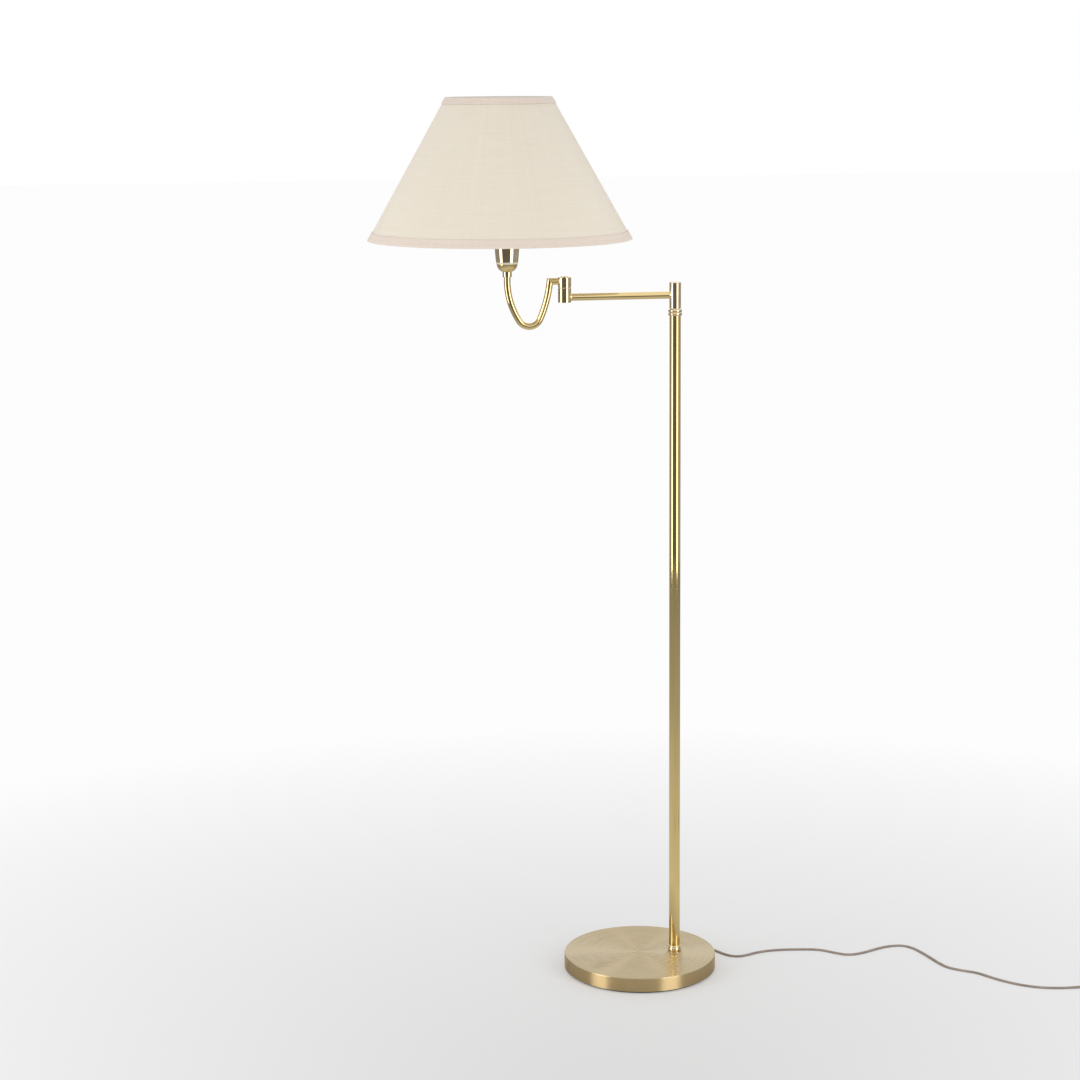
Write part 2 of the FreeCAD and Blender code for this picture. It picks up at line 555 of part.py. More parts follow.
# Cast iron disc inside the cover, with a recess for the foot nut and a bored way for the wires.
weight_disc = sleeve("weight_disc", "at.weight_radius", "0", "at.cover_underside - lamp.felt_thick",
                     z="lamp.felt_thick")
rod_hole = rod("rod_hole", "at.threaded_hole", "lamp.base_top", x="lamp.pole_offset")
nut_recess = rod("nut_recess", "lamp.recess_radius", "lamp.recess_depth",
                 x="lamp.pole_offset", z="lamp.felt_thick")
wire_way = rod("wire_way", "lamp.wire_way_radius",
               "hypot(at.back_x - lamp.pole_offset; at.back_y) + lamp.wire_way_radius / 2",
               x="lamp.pole_offset", z="lamp.exit_height",
               compass="atan2(at.back_y; at.back_x - lamp.pole_offset) / 1 deg", tilt="90")
bush_seat = rod("bush_seat", "lamp.bush_radius + lamp.fit_gap", "lamp.base_radius",
                x="at.back_x", y="at.back_y", z="lamp.exit_height", compass="lamp.exit_angle", tilt="90")
finish("base_weight", cut("weight", weight_disc, rod_hole, nut_recess, wire_way, bush_seat))

# Felt pad that covers the iron and stands the lamp on the floor.
finish("base_felt", sleeve("felt", "lamp.base_radius - lamp.felt_inset", "0", "lamp.felt_thick"))

# Cord bush: a flanged sleeve through the cover that tapers along the cord.
finish("cord_bush", turned("bush", [
    ("lamp.lead_radius + lamp.cord_hole_gap", "-lamp.cover_wall - lamp.bush_neck"),
    ("lamp.bush_radius", "-lamp.cover_wall - lamp.bush_neck"),
    ("lamp.bush_radius", "0.1"),
    ("lamp.bush_flange", "0.1"),
    ("lamp.bush_flange", "lamp.bush_flange_thick"),
    ("lamp.bush_radius", "lamp.bush_flange_thick"),
    ("lamp.bush_tip", "lamp.bush_flange_thick + lamp.bush_length"),
    ("lamp.lead_radius + lamp.cord_hole_gap", "lamp.bush_flange_thick + lamp.bush_length"),
], x="at.exit_x", y="at.exit_y", z="lamp.exit_height", compass="lamp.exit_angle", tilt="90"))

# ---------------------------------------------------------------- pole foot
finish("foot_nipple", turned("nipple", [
    ("lamp.thread_bore", "at.nipple_foot"),
    ("lamp.thread_radius", "at.nipple_foot"),
    ("lamp.thread_radius", "lamp.base_top + lamp.insert_thread"),
    ("lamp.thread_bore", "lamp.base_top + lamp.insert_thread"),
], x="lamp.pole_offset"))
finish("foot_nut", nut("foot_nut_cut", "lamp.foot_nut_flats", "lamp.foot_nut_height", "at.threaded_hole",
                       x="lamp.pole_offset", z="at.foot_nut_top - lamp.foot_nut_height"))
finish("foot_washer", sleeve("washer", "lamp.foot_washer_radius", "at.threaded_hole",
                             "lamp.foot_washer_thick", x="lamp.pole_offset", z="at.foot_nut_top"))

# Threaded plug pressed into the pole's lower end.
finish("pole_foot_insert", turned("foot_insert", [
    ("at.threaded_hole", "0"),
    ("at.insert_radius", "0"),
    ("at.insert_radius", "lamp.insert_length"),
    ("lamp.thread_bore", "lamp.insert_length"),
    ("lamp.thread_bore", "lamp.insert_thread"),
    ("at.threaded_hole", "lamp.insert_thread"),
], x="lamp.pole_offset", z="lamp.base_top"))

# Two turned beads round the pole where it meets the cover.
BEAD = "(({0} / 2) ^ 2 + lamp.bead_bulge ^ 2) / 2 / lamp.bead_bulge"
finish("pole_foot_collar", turned("foot_collar", [
    ("lamp.pole_radius + lamp.collar_gap", "0"),
    ("lamp.foot_bead_radius", "0"),
    ("lamp.foot_bead_radius", "lamp.foot_bead_height", BEAD.format("lamp.foot_bead_height")),
    ("lamp.foot_lip_radius", "lamp.foot_bead_height"),
    ("lamp.foot_lip_radius", "lamp.foot_bead_height + lamp.foot_lip_height",
     BEAD.format("lamp.foot_lip_height")),
    ("lamp.pole_radius + lamp.collar_gap", "lamp.foot_bead_height + lamp.foot_lip_height"),
], x="lamp.pole_offset", z="lamp.base_top"))

# ---------------------------------------------------------------- pole and its head
finish("pole_tube", sleeve("pole", "lamp.pole_radius", "lamp.pole_radius - lamp.pole_wall",
                           "lamp.pole_top - lamp.base_top", x="lamp.pole_offset", z="lamp.base_top"))

# Turned head: a plug in the pole's top end under a collar of two beads.
finish("pole_head", turned("head", [
    ("at.threaded_hole", "-lamp.insert_length"),
    ("at.insert_radius", "-lamp.insert_length"),
    ("at.insert_radius", "0"),
    ("lamp.head_radius", "0"),
    ("lamp.head_radius", "lamp.head_bead_height", BEAD.format("lamp.head_bead_height")),
    ("lamp.head_radius", "2 * lamp.head_bead_height", BEAD.format("lamp.head_bead_height")),
    ("at.threaded_hole", "2 * lamp.head_bead_height"),
], x="lamp.pole_offset", z="lamp.pole_top"))

# Hollow threaded rod on which the first arm swivels. The wires pass through it.
finish("swivel_rod", sleeve("spindle", "lamp.thread_radius", "lamp.thread_bore",
                            "at.swivel_rod_top - lamp.pole_top + lamp.insert_thread",
                            x="lamp.pole_offset", z="lamp.pole_top - lamp.insert_thread"))
finish("swivel_washers", group(
    "washer_pair",
    sleeve("swivel_washer_low", "lamp.swivel_radius - lamp.turned_edge", "at.threaded_hole",
           "lamp.slip_washer_thick", x="lamp.pole_offset", z="at.swivel_foot - lamp.slip_washer_thick"),
    sleeve("swivel_washer_high", "lamp.swivel_cavity - lamp.turned_edge", "at.threaded_hole",
           "lamp.slip_washer_thick", x="lamp.pole_offset", z="at.swivel_inside")))
finish("swivel_nut", nut("swivel_nut_cut", "lamp.swivel_nut_flats", "lamp.swivel_nut_height",
                         "at.threaded_hole", x="lamp.pole_offset", z="at.swivel_nut_foot"))

# ---------------------------------------------------------------- first arm
# Barrel that turns on the threaded rod, open at the top for fitting the nut.
barrel_blank = turned("barrel_blank", [
    ("at.threaded_hole", "0"),
    ("lamp.swivel_radius - lamp.turned_edge", "0"),
    ("lamp.swivel_radius", "lamp.turned_edge"),
    ("lamp.swivel_radius", "lamp.swivel_height - lamp.turned_edge"),
    ("lamp.swivel_radius - lamp.turned_edge", "lamp.swivel_height"),
    ("lamp.swivel_cavity", "lamp.swivel_height"),
    ("lamp.swivel_cavity", "lamp.swivel_floor_thick"),
    ("at.threaded_hole", "lamp.swivel_floor_thick"),
], x="lamp.pole_offset", z="at.swivel_foot")
arm_socket = rod("arm_socket", "lamp.arm_radius + lamp.fit_gap", "lamp.swivel_radius",
                 x="lamp.pole_offset - lamp.thread_radius", z="at.arm_axis", compass="180", tilt="90")
finish("swivel_barrel", cut("barrel", barrel_blank, arm_socket))
finish("swivel_cap", sleeve("barrel_cap", "lamp.swivel_cavity - lamp.fit_gap", "0", "lamp.swivel_cap_thick",
                            x="lamp.pole_offset",
                            z="at.swivel_foot + lamp.swivel_height - lamp.swivel_cap_thick"))

# Level tube between the two swivels. Its ends sit in the walls of the barrel and the knuckle.
finish("inner_arm_tube", sleeve(
    "inner_arm", "lamp.arm_radius", "lamp.arm_radius - lamp.arm_wall",
    "lamp.inner_reach - lamp.swivel_cavity - lamp.lower_cavity - 2 * lamp.collar_gap",
    x="lamp.pole_offset - lamp.swivel_cavity - lamp.collar_gap", z="at.arm_axis", compass="180", tilt="90"))

# Lower knuckle of the elbow, brazed to the first arm and closed below by a plug.
knuckle_blank = turned("knuckle_blank", [
    ("lamp.lower_cavity", "0"),
    ("lamp.elbow_radius - lamp.turned_edge", "0"),
    ("lamp.elbow_radius", "lamp.turned_edge"),
    ("lamp.elbow_radius", "lamp.lower_knuckle_height"),
    ("at.threaded_hole", "lamp.lower_knuckle_height"),
    ("at.threaded_hole", "lamp.lower_knuckle_height - lamp.lower_roof_thick"),
    ("lamp.lower_cavity", "lamp.lower_knuckle_height - lamp.lower_roof_thick"),
], x="at.elbow_x", z="at.elbow_foot")
elbow_socket = rod("elbow_socket", "lamp.arm_radius + lamp.fit_gap", "lamp.elbow_radius",
                   x="at.elbow_x + lamp.thread_radius", z="at.arm_axis", compass="0", tilt="90")
finish("elbow_lower_knuckle", cut("lower_knuckle", knuckle_blank, elbow_socket))
finish("elbow_bottom_plug", sleeve("bottom_plug", "lamp.lower_cavity - lamp.fit_gap", "0",
                                   "lamp.elbow_plug_thick", x="at.elbow_x", z="at.elbow_foot"))

# ---------------------------------------------------------------- elbow and second arm
finish("elbow_rod", sleeve("elbow_spindle", "lamp.thread_radius", "lamp.thread_bore",
                           "at.upper_foot + lamp.upper_floor_thick - at.elbow_rod_foot",
                           x="at.elbow_x", z="at.elbow_rod_foot"))
finish("elbow_washers", group(
    "elbow_washer_pair",
    sleeve("elbow_washer_low", "lamp.lower_cavity - lamp.turned_edge", "at.threaded_hole",
           "lamp.slip_washer_thick", x="at.elbow_x", z="at.elbow_nut_top"),
    sleeve("elbow_washer_high", "lamp.outer_washer_radius", "at.threaded_hole",
           "lamp.slip_washer_thick", x="at.elbow_x", z="at.elbow_split")))
finish("elbow_nut", nut("elbow_nut_cut", "lamp.swivel_nut_flats", "lamp.swivel_nut_height",
                        "at.threaded_hole", x="at.elbow_x", z="at.elbow_nut_top - lamp.swivel_nut_height"))
upper_blank = turned("upper_blank", [
    ("at.threaded_hole", "0"),
    ("lamp.elbow_radius", "0"),
    ("lamp.elbow_radius", "lamp.upper_knuckle_height - lamp.turned_edge"),
    ("lamp.elbow_radius - lamp.turned_edge", "lamp.upper_knuckle_height"),
    ("lamp.button_spigot + lamp.fit_gap", "lamp.upper_knuckle_height"),
    ("lamp.button_spigot + lamp.fit_gap", "lamp.upper_knuckle_height - lamp.upper_roof_thick"),
    ("lamp.upper_cavity", "lamp.upper_knuckle_height - lamp.upper_roof_thick"),
    ("lamp.upper_cavity", "lamp.upper_floor_thick"),
    ("at.threaded_hole", "lamp.upper_floor_thick"),
], x="at.elbow_x", z="at.upper_foot")
stub_socket = rod("stub_socket", "lamp.neck_radius + lamp.fit_gap", "lamp.elbow_radius",
                  x="at.elbow_x - lamp.thread_radius", z="at.stub_axis", compass="180", tilt="90")
finish("elbow_upper_knuckle", cut("upper_knuckle", upper_blank, stub_socket))
finish("elbow_button", turned("button", [
    ("0", "-lamp.button_spigot_length"),
    ("lamp.button_spigot", "-lamp.button_spigot_length"),
    ("lamp.button_spigot", "0"),
    ("lamp.button_radius", "0"),
    ("lamp.button_radius", "lamp.button_height - lamp.turned_edge"),
    ("lamp.button_radius - lamp.turned_edge", "lamp.button_height"),
    ("0", "lamp.button_height"),
], x="at.elbow_x", z="at.upper_roof"))

# Short level tube from the knuckle, cut to a mitre where the gooseneck turns down.
stub_blank = sleeve("stub_blank", "lamp.neck_radius", "lamp.neck_radius - lamp.neck_wall",
                    "lamp.stub_reach + 2 * lamp.neck_radius - lamp.upper_cavity - lamp.collar_gap",
                    x="at.elbow_x - lamp.upper_cavity - lamp.collar_gap", z="at.stub_axis",
                    compass="180", tilt="90")
mitre_saw = rod("mitre_saw", "4 * lamp.neck_radius", "4 * lamp.neck_radius",
                x="at.corner_x", z="at.stub_axis", compass="180", tilt="135 - lamp.leg_lean / 2")
finish("stub_tube", cut("stub", stub_blank, mitre_saw))


def neck_corners():
    """Where the straight tangents of the gooseneck's bends meet, from the mitre to its upper end."""
    here = Vector(value("at.corner_x"), 0, value("at.stub_axis"))
    heading = value("lamp.leg_lean")
    turns = (
        (value("lamp.leg_arc_radius"), value("lamp.leg_arc_turn")),
        (value("lamp.bend_radius"), 180 - value("at.low_lean") - value("lamp.rise_arc_turn")),
        (value("lamp.rise_arc_radius"), value("lamp.rise_arc_turn")),
    )
    corners = [here]
    for radius, turn in turns:
        setback = radius * math.tan(math.radians(turn / 2))
        for angle in (heading, heading + turn):
            ahead = Vector(-math.sin(math.radians(angle)), 0, -math.cos(math.radians(angle)))
            here = here + ahead * setback
            if angle == heading:
                corners.append(here)
        heading += turn
    corners.append(Vector(value("at.socket_x"), 0, value("at.neck_end")))
    return corners, [radius for radius, turn in turns]


# Gooseneck: one bent tube from the mitre, down and round and up into the lamp holder's cap.
neck_points, neck_radii = neck_corners()
lean = math.radians(value("lamp.leg_lean"))
before_mitre = neck_points[0] + Vector(math.sin(lean), 0, math.cos(lean)) * value("2 * lamp.neck_radius")
neck_path = bent([before_mitre] + neck_points[1:], neck_radii)
neck_bar = swept(neck_path, value("lamp.neck_radius"), value("lamp.neck_radius - lamp.neck_wall"))
mitre_tilt = math.radians(135) - lean / 2
mitre_way = Vector(math.sin(mitre_tilt), 0, -math.cos(mitre_tilt))
mitre_block = Part.makeCylinder(value("4 * lamp.neck_radius"), value("4 * lamp.neck_radius"),
                                neck_points[0], mitre_way)
finish("gooseneck_tube", formed("gooseneck", neck_bar.cut(mitre_block)))

# ---------------------------------------------------------------- lamp holder
finish("socket_lock_nut", turned("lock_nut", [
    ("lamp.neck_radius + lamp.fit_gap", "0"),
    ("lamp.lock_nut_radius - lamp.turned_edge", "0"),
    ("lamp.lock_nut_radius", "lamp.turned_edge"),
    ("lamp.lock_nut_radius", "lamp.lock_nut_height - lamp.turned_edge"),
    ("lamp.lock_nut_radius - lamp.turned_edge", "lamp.lock_nut_height"),
    ("lamp.neck_radius + lamp.fit_gap", "lamp.lock_nut_height"),
], x="at.socket_x", z="at.lock_nut_foot"))
finish("socket_cap", turned("holder_cap", [
    ("lamp.neck_radius + lamp.fit_gap", "0"),
    ("lamp.cap_foot_radius", "0"),
    ("lamp.cap_rim_radius", "lamp.cap_height", "lamp.cap_dome"),
    ("lamp.cap_rim_radius - lamp.holder_wall", "lamp.cap_height"),
    ("lamp.cap_foot_radius - lamp.holder_wall", "lamp.holder_wall", "lamp.cap_dome", "hollow"),
    ("lamp.neck_radius + lamp.fit_gap", "lamp.holder_wall"),
], x="at.socket_x", z="at.cap_foot"))
finish("socket_seam_ring", sleeve("seam_ring", "lamp.seam_radius", "lamp.seam_radius - lamp.seam_land",
                                  "lamp.seam_height", x="at.socket_x", z="at.seam_foot"))
finish("socket_shell", turned("holder_shell", [
    ("lamp.seam_radius - lamp.holder_wall", "0"),
    ("lamp.seam_radius", "0"),
    ("lamp.shell_radius", "lamp.shell_taper"),
    ("lamp.shell_radius", "lamp.shell_body"),
    ("lamp.shell_thread_radius", "lamp.shell_body"),
    ("lamp.shell_thread_radius", "lamp.shell_body + lamp.shell_thread_height"),
    ("lamp.shell_thread_radius - lamp.holder_wall", "lamp.shell_body + lamp.shell_thread_height"),
    ("lamp.shell_thread_radius - lamp.holder_wall", "lamp.shell_body - lamp.holder_wall"),
    ("lamp.shell_radius - lamp.holder_wall", "lamp.shell_taper"),
], x="at.socket_x", z="at.shell_foot"))

# Ceramic that carries the contacts. Its flange rests on the seam ring.
finish("socket_insulator", turned("insulator", [
    ("lamp.thread_bore", "0"),
    ("lamp.seam_radius - lamp.holder_wall - lamp.fit_gap", "0"),
    ("lamp.seam_radius - lamp.holder_wall - lamp.fit_gap", "lamp.insulator_flange"),
    ("lamp.insulator_radius", "lamp.insulator_flange"),
    ("lamp.insulator_radius", "lamp.insulator_height"),
    ("lamp.thread_bore", "lamp.insulator_height"),
], x="at.socket_x", z="at.shell_foot"))
finish("socket_screw_shell", turned("screw_shell", [
    ("lamp.bulb_base_radius * 0.7", "0"),
    ("lamp.screw_shell_radius", "0"),
    ("lamp.screw_shell_radius", "lamp.screw_shell_height"),
    ("lamp.screw_shell_radius - lamp.screw_shell_wall", "lamp.screw_shell_height"),
    ("lamp.screw_shell_radius - lamp.screw_shell_wall", "lamp.screw_shell_wall"),
    ("lamp.bulb_base_radius * 0.7", "lamp.screw_shell_wall"),
], x="at.socket_x", z="at.insulator_top"))


def block(name, length, width, height, x, y, z):
    """A block centred on its place, standing at its height."""
    box = doc.addObject("Part::Box", name)
    box.setExpression("Length", length)
    box.setExpression("Width", width)
    box.setExpression("Height", height)
    return place(box, f"{x} - ({length}) / 2", f"{y} - ({width}) / 2", z)


finish("socket_centre_contact", join(
    "centre_contact",
    block("contact_foot", "lamp.contact_width", "lamp.contact_width",
          "lamp.contact_height - lamp.contact_thick",
          "at.socket_x - (lamp.contact_width + lamp.thread_bore) / 2", "0", "at.insulator_top"),
    block("contact_tongue", "lamp.contact_length", "lamp.contact_width", "lamp.contact_thick",
          "at.socket_x - lamp.thread_bore / 2", "0", "at.bulb_foot - lamp.contact_thick")))

# ---------------------------------------------------------------- bulb
finish("bulb_screw_base", turned("bulb_base", [
    ("0", "0"),
    ("lamp.bulb_base_radius * 0.35", "0"),
    ("lamp.bulb_base_radius * 0.4", "lamp.bulb_base_height * 0.06"),
    ("lamp.bulb_base_radius * 0.68", "lamp.bulb_base_height * 0.16"),
    ("lamp.bulb_base_radius", "lamp.bulb_base_height * 0.26"),
    ("lamp.bulb_base_radius", "lamp.bulb_base_height"),
    ("lamp.bulb_base_radius - lamp.bulb_base_wall", "lamp.bulb_base_height"),
    ("lamp.bulb_base_radius - lamp.bulb_base_wall", "lamp.bulb_base_height * 0.4"),
    ("0", "lamp.bulb_base_height * 0.4"),
], x="at.socket_x", z="at.bulb_foot"))
SHOULDER = "lamp.bulb_centre - sqrt(lamp.bulb_radius ^ 2 - lamp.bulb_shoulder ^ 2)"
INNER_GLOBE = "(lamp.bulb_radius - lamp.glass_wall)"
INNER_SHARE = "(1 - lamp.glass_wall / lamp.bulb_radius)"
finish("bulb_glass", turned("glass", [
    ("lamp.bulb_neck_radius - lamp.glass_wall", "0"),
    ("lamp.bulb_neck_radius", "0"),
    ("lamp.bulb_neck_radius", "lamp.bulb_neck_height"),
    ("lamp.bulb_shoulder", SHOULDER, "lamp.bulb_flare", "hollow"),
    ("lamp.bulb_radius", "lamp.bulb_centre", "lamp.bulb_radius"),
    ("0", "lamp.bulb_centre + lamp.bulb_radius", "lamp.bulb_radius"),
    ("0", f"lamp.bulb_centre + {INNER_GLOBE}"),
    (INNER_GLOBE, "lamp.bulb_centre", INNER_GLOBE, "hollow"),
    (f"lamp.bulb_shoulder * {INNER_SHARE}",
     f"lamp.bulb_centre - sqrt(lamp.bulb_radius ^ 2 - lamp.bulb_shoulder ^ 2) * {INNER_SHARE}",
     INNER_GLOBE, "hollow"),
    ("lamp.bulb_neck_radius - lamp.glass_wall", "lamp.bulb_neck_height", "lamp.bulb_flare"),
], x="at.socket_x", z="at.bulb_foot + lamp.bulb_seat"))

# ---------------------------------------------------------------- shade carrier
# Flat ring on the shell's step, clamped by a ring nut. It carries the two feet of the harp.
finish("harp_saddle", sleeve("saddle", "lamp.saddle_radius", "lamp.shell_thread_radius + lamp.fit_gap",
                             "lamp.saddle_thick", x="at.socket_x", z="at.shell_step"))
finish("shade_ring_nut", sleeve("ring_nut", "lamp.ring_nut_radius", "lamp.shell_thread_radius + lamp.fit_gap",
                                "lamp.ring_nut_height", x="at.socket_x", z="at.ring_nut_foot"))


def harp_point(across, height):
    """A point of the harp, which leans outwards so that the shade's axis stands clear of the holder's."""
    foot, crown = value("at.ring_nut_foot"), value("at.crown_height")
    share = (height - foot) / (crown - foot)
    return Vector(value("at.socket_x") - value("lamp.shade_lean") * share, across, height)


harp_half = [
    harp_point(value("lamp.harp_foot"), value("at.ring_nut_foot")),
    harp_point(value("lamp.harp_foot"), value("at.ring_nut_foot + lamp.harp_foot_rise")),
    harp_point(value("lamp.harp_width"), value("at.ring_nut_foot + lamp.harp_flare_rise")),
    harp_point(value("lamp.harp_width"), value("at.crown_height - lamp.harp_crown_drop")),
    harp_point(value("lamp.harp_crown"), value("at.crown_height")),
]
harp_points = harp_half + [Vector(point.x, -point.y, point.z) for point in reversed(harp_half)]
harp_path = bent(harp_points, [value("lamp.harp_bend")] * (len(harp_points) - 2))
below = value("2 * lamp.harp_width")
harp_floor = Part.makeBox(2 * below, 2 * below, below,
                          Vector(value("at.socket_x") - below, -below, value("at.ring_nut_foot") - below))
finish("shade_harp", formed("harp", swept(harp_path, value("lamp.harp_wire")).cut(harp_floor)))

# Threaded stud on the harp's crown, and the nut that holds the shade's hub down on it.
stud_blank = turned("stud_blank", [
    ("0", "-lamp.stud_collar_height - lamp.harp_wire"),
    ("lamp.stud_collar_radius", "-lamp.stud_collar_height - lamp.harp_wire"),
    ("lamp.stud_collar_radius", "0"),
    ("lamp.stud_radius", "0"),
    ("lamp.stud_radius", "lamp.stud_height"),
    ("0", "lamp.stud_height"),
], x="at.shade_x", z="at.hub_foot")
stud_groove = rod("stud_groove", "lamp.harp_wire + lamp.fit_gap", "4 * lamp.stud_collar_radius",
                  x="at.shade_x", y="-2 * lamp.stud_collar_radius", z="at.crown_height",
                  compass="90", tilt="90")
finish("harp_stud", cut("stud", stud_blank, stud_groove))
finish("shade_finial", turned("finial", [
    ("lamp.stud_radius + lamp.fit_gap", "0"),
    ("lamp.finial_radius", "0"),
    ("lamp.finial_radius", "lamp.finial_height - lamp.turned_edge"),
    ("lamp.finial_radius - lamp.turned_edge", "lamp.finial_height"),
    ("lamp.stud_radius + lamp.fit_gap", "lamp.finial_height"),
], x="at.shade_x", z="at.hub_foot + lamp.hub_thick"))

# ---------------------------------------------------------------- shade
def ring(name, radius, wire, z):
    """A ring of round wire, level, on the shade's axis."""
    hoop = doc.addObject("Part::Torus", name)
    hoop.setExpression("Radius1", radius)
    hoop.setExpression("Radius2", wire)
    return place(hoop, x="at.shade_x", z=z)


# Frame at the top: hub, three spokes and the upper ring, welded into one piece.
hub = sleeve("hub", "lamp.hub_radius", "lamp.stud_radius + lamp.fit_gap", "lamp.hub_thick",
             x="at.shade_x", z="at.hub_foot")
spokes = [
    rod(f"spoke_{turn}", "lamp.spoke_wire", "at.spoke_length",
        x=f"at.shade_x + at.spoke_start * cos({turn} deg)", y=f"at.spoke_start * sin({turn} deg)",
        z="at.hub_middle", compass=str(turn), tilt="at.spoke_tilt / 1 deg")
    for turn in (30, 150, 270)
]
top_hoop = ring("top_hoop", "at.top_ring_radius", "lamp.frame_wire", "at.top_ring_height")
finish("shade_top_frame", join("top_frame", hub, top_hoop, *spokes))
finish("shade_bottom_ring", ring("foot_hoop", "at.foot_ring_radius", "lamp.frame_wire",
                                 "at.shade_foot + lamp.frame_inset"))


def band(name, foot_radius, top_radius, wall, height, z):
    """A tapered band round the shade's axis, from its outer radii."""
    outside = cone(name + "_outside", foot_radius, top_radius, height, x="at.shade_x", z=z)
    inside = cone(name + "_inside", f"{foot_radius} - {wall}", f"{top_radius} - {wall}", height,
                  x="at.shade_x", z=z)
    return cut(name, outside, inside)


finish("shade_cover", band("cloth", "at.cover_foot_radius", "at.cover_top_radius", "lamp.cover_thick",
                           "lamp.shade_height", "at.shade_foot"))
finish("shade_bottom_trim", band(
    "foot_band", "lamp.shade_foot_radius", "(lamp.shade_foot_radius - at.taper * lamp.foot_trim_height)",
    "lamp.trim_thick", "lamp.foot_trim_height", "at.shade_foot"))
finish("shade_top_trim", band(
    "top_band", "(lamp.shade_top_radius + at.taper * lamp.top_trim_height)", "lamp.shade_top_radius",
    "lamp.trim_thick", "lamp.top_trim_height", "at.shade_top - lamp.top_trim_height"))

# ---------------------------------------------------------------- wires inside the tubes
# One lead to each body. Leads of neighbouring bodies meet end to end on the swivel axes.
lead_radius = value("lamp.lead_radius")
lead_bend = value("lamp.lead_bend")
pole_x, exit_height = value("lamp.pole_offset"), value("lamp.exit_height")
exit_way = Vector(value("at.exit_x"), value("at.exit_y"), 0).normalize()
bush_tip = exit_way * value("at.bush_end") + UP * exit_height
pole_lead_path = bent([
    bush_tip,
    exit_way * value("at.bush_back") + UP * exit_height,
    Vector(pole_x, 0, exit_height),
    Vector(pole_x, 0, value("at.swivel_rod_top")),
], [lead_bend, lead_bend])
finish("pole_lead", formed("pole_wires", swept(pole_lead_path, lead_radius)))
lead_gap = 0.3
arm_lead_path = bent([
    Vector(pole_x, 0, value("at.swivel_rod_top") + lead_gap),
    Vector(pole_x, 0, value("at.arm_axis")),
    Vector(value("at.elbow_x"), 0, value("at.arm_axis")),
    Vector(value("at.elbow_x"), 0, value("at.lead_joint")),
], [lead_bend, lead_bend])
finish("arm_lead", formed("arm_wires", swept(arm_lead_path, lead_radius)))
head_lead_path = bent([
    Vector(value("at.elbow_x"), 0, value("at.lead_joint") + lead_gap),
    Vector(value("at.elbow_x"), 0, value("at.stub_axis")),
] + neck_points[:-1] + [Vector(value("at.socket_x"), 0, value("at.shell_foot"))],
    [lead_bend, lead_bend, neck_radii[0] * 0.8, neck_radii[1], neck_radii[2]])
finish("head_lead", formed("head_wires", swept(head_lead_path, lead_radius)))

# ---------------------------------------------------------------- cord on the floor
# Flat twin flex, as a round tube of its width. The points follow the cord's loose wanderings.
cord_radius = value("lamp.cord_diameter / 2")
low = value("at.cord_low")
along = Vector(value("at.along_x"), value("at.along_y"), 0)
across = Vector(-along.y, along.x, 0)
switch_entry = Vector(value("lamp.switch_place_x"), value("lamp.switch_place_y"), value("lamp.switch_split"))
CORD_ROUTE = (
    (50.2, 162.6, 5.8), (61.9, 164.5, 3.6), (72.7, 159.7, 2.75), (80.3, 148, 2.75),
    (91.3, 129, 2.75), (107.2, 103.5, 2.75), (122, 75.1, 2.75), (137, 49.1, 2.75), (146, 32, 2.75),
    (153, 20.5, 2.75), (162, 12, 2.75), (174.5, 9, 2.75), (187, 12.5, 2.75), (203, 20.5, 2.75),
    (222, 25.5, 2.75), (243, 27, 2.75), (266, 25, 2.75), (290, 21, 2.75), (315, 15, 2.75),
    (336, -6, 2.75), (354, -19, 2.75), (378, -15, 2.75), (402, -3, 2.75), (428, 8.5, 2.75),
    (455, 10, 2.75), (470, -5, 2.75), (478, -29, 2.75), (484, -54, 2.75), (490, -82, 2.75),
    (498, -106, 2.75), (518, -124, 2.75), (538, -137, 2.75), (552, -160, 2.75), (568, -182, 2.75),
    (589, -203, 2.75), (614, -219, 2.75), (643, -227, 2.75), (667, -229.2, 2.75), (687, -232.2, 3.6),
)
route = [bush_tip, bush_tip + exit_way * 11.3] + [Vector(x, y, z - 2.75 + low) for x, y, z in CORD_ROUTE]
route += [switch_entry - along * 13, switch_entry]
radii = slack_radii(route)
cord_path = bent(route, radii)
cord_tube = swept(cord_path, cord_radius)
print("cord radii", [round(radius) for radius in radii], "least", round(min(radii), 1))
print("cord volume to section times length",
      round(cord_tube.Volume / (math.pi * cord_radius ** 2 * cord_path.Length), 4),
      "length", round(cord_path.Length))
finish("supply_cord", formed("cord", cord_tube))

# The rest of the cord, wound into a neat coil of two layers. It spirals in below, climbs a layer in
# the half turn where the spiral reverses, and spirals out above.
coil_centre = Vector(value("at.coil_x"), value("at.coil_y"), 0)
coil_radius, pitch = value("lamp.coil_radius"), value("lamp.coil_pitch")
sweep = math.radians(360 * value("lamp.coil_loops"))
start_angle = math.radians(value("lamp.cord_heading") - 90)


def coil_point(angle):
    """A point of the coil and its direction, by the angle wound since its start."""
    inward = min(angle, sweep - angle)
    radius = coil_radius - pitch * inward / (2 * math.pi)
    rate = 0.0
    if 0 < angle < sweep and abs(angle - sweep / 2) > 1e-6:
        rate = math.copysign(pitch / (2 * math.pi), angle - sweep / 2)
    climb = min(max((angle - sweep / 2) / math.pi + 0.5, 0.0), 1.0)
    height = low + pitch * climb * climb * (3 - 2 * climb)
    slope = pitch * 6 * climb * (1 - climb) / math.pi
    polar = start_angle + angle
    out = Vector(math.cos(polar), math.sin(polar), 0)
    round_way = Vector(-out.y, out.x, 0)
    direction = (round_way * radius + out * rate + UP * slope).normalize()
    return coil_centre + out * radius + UP * height, direction


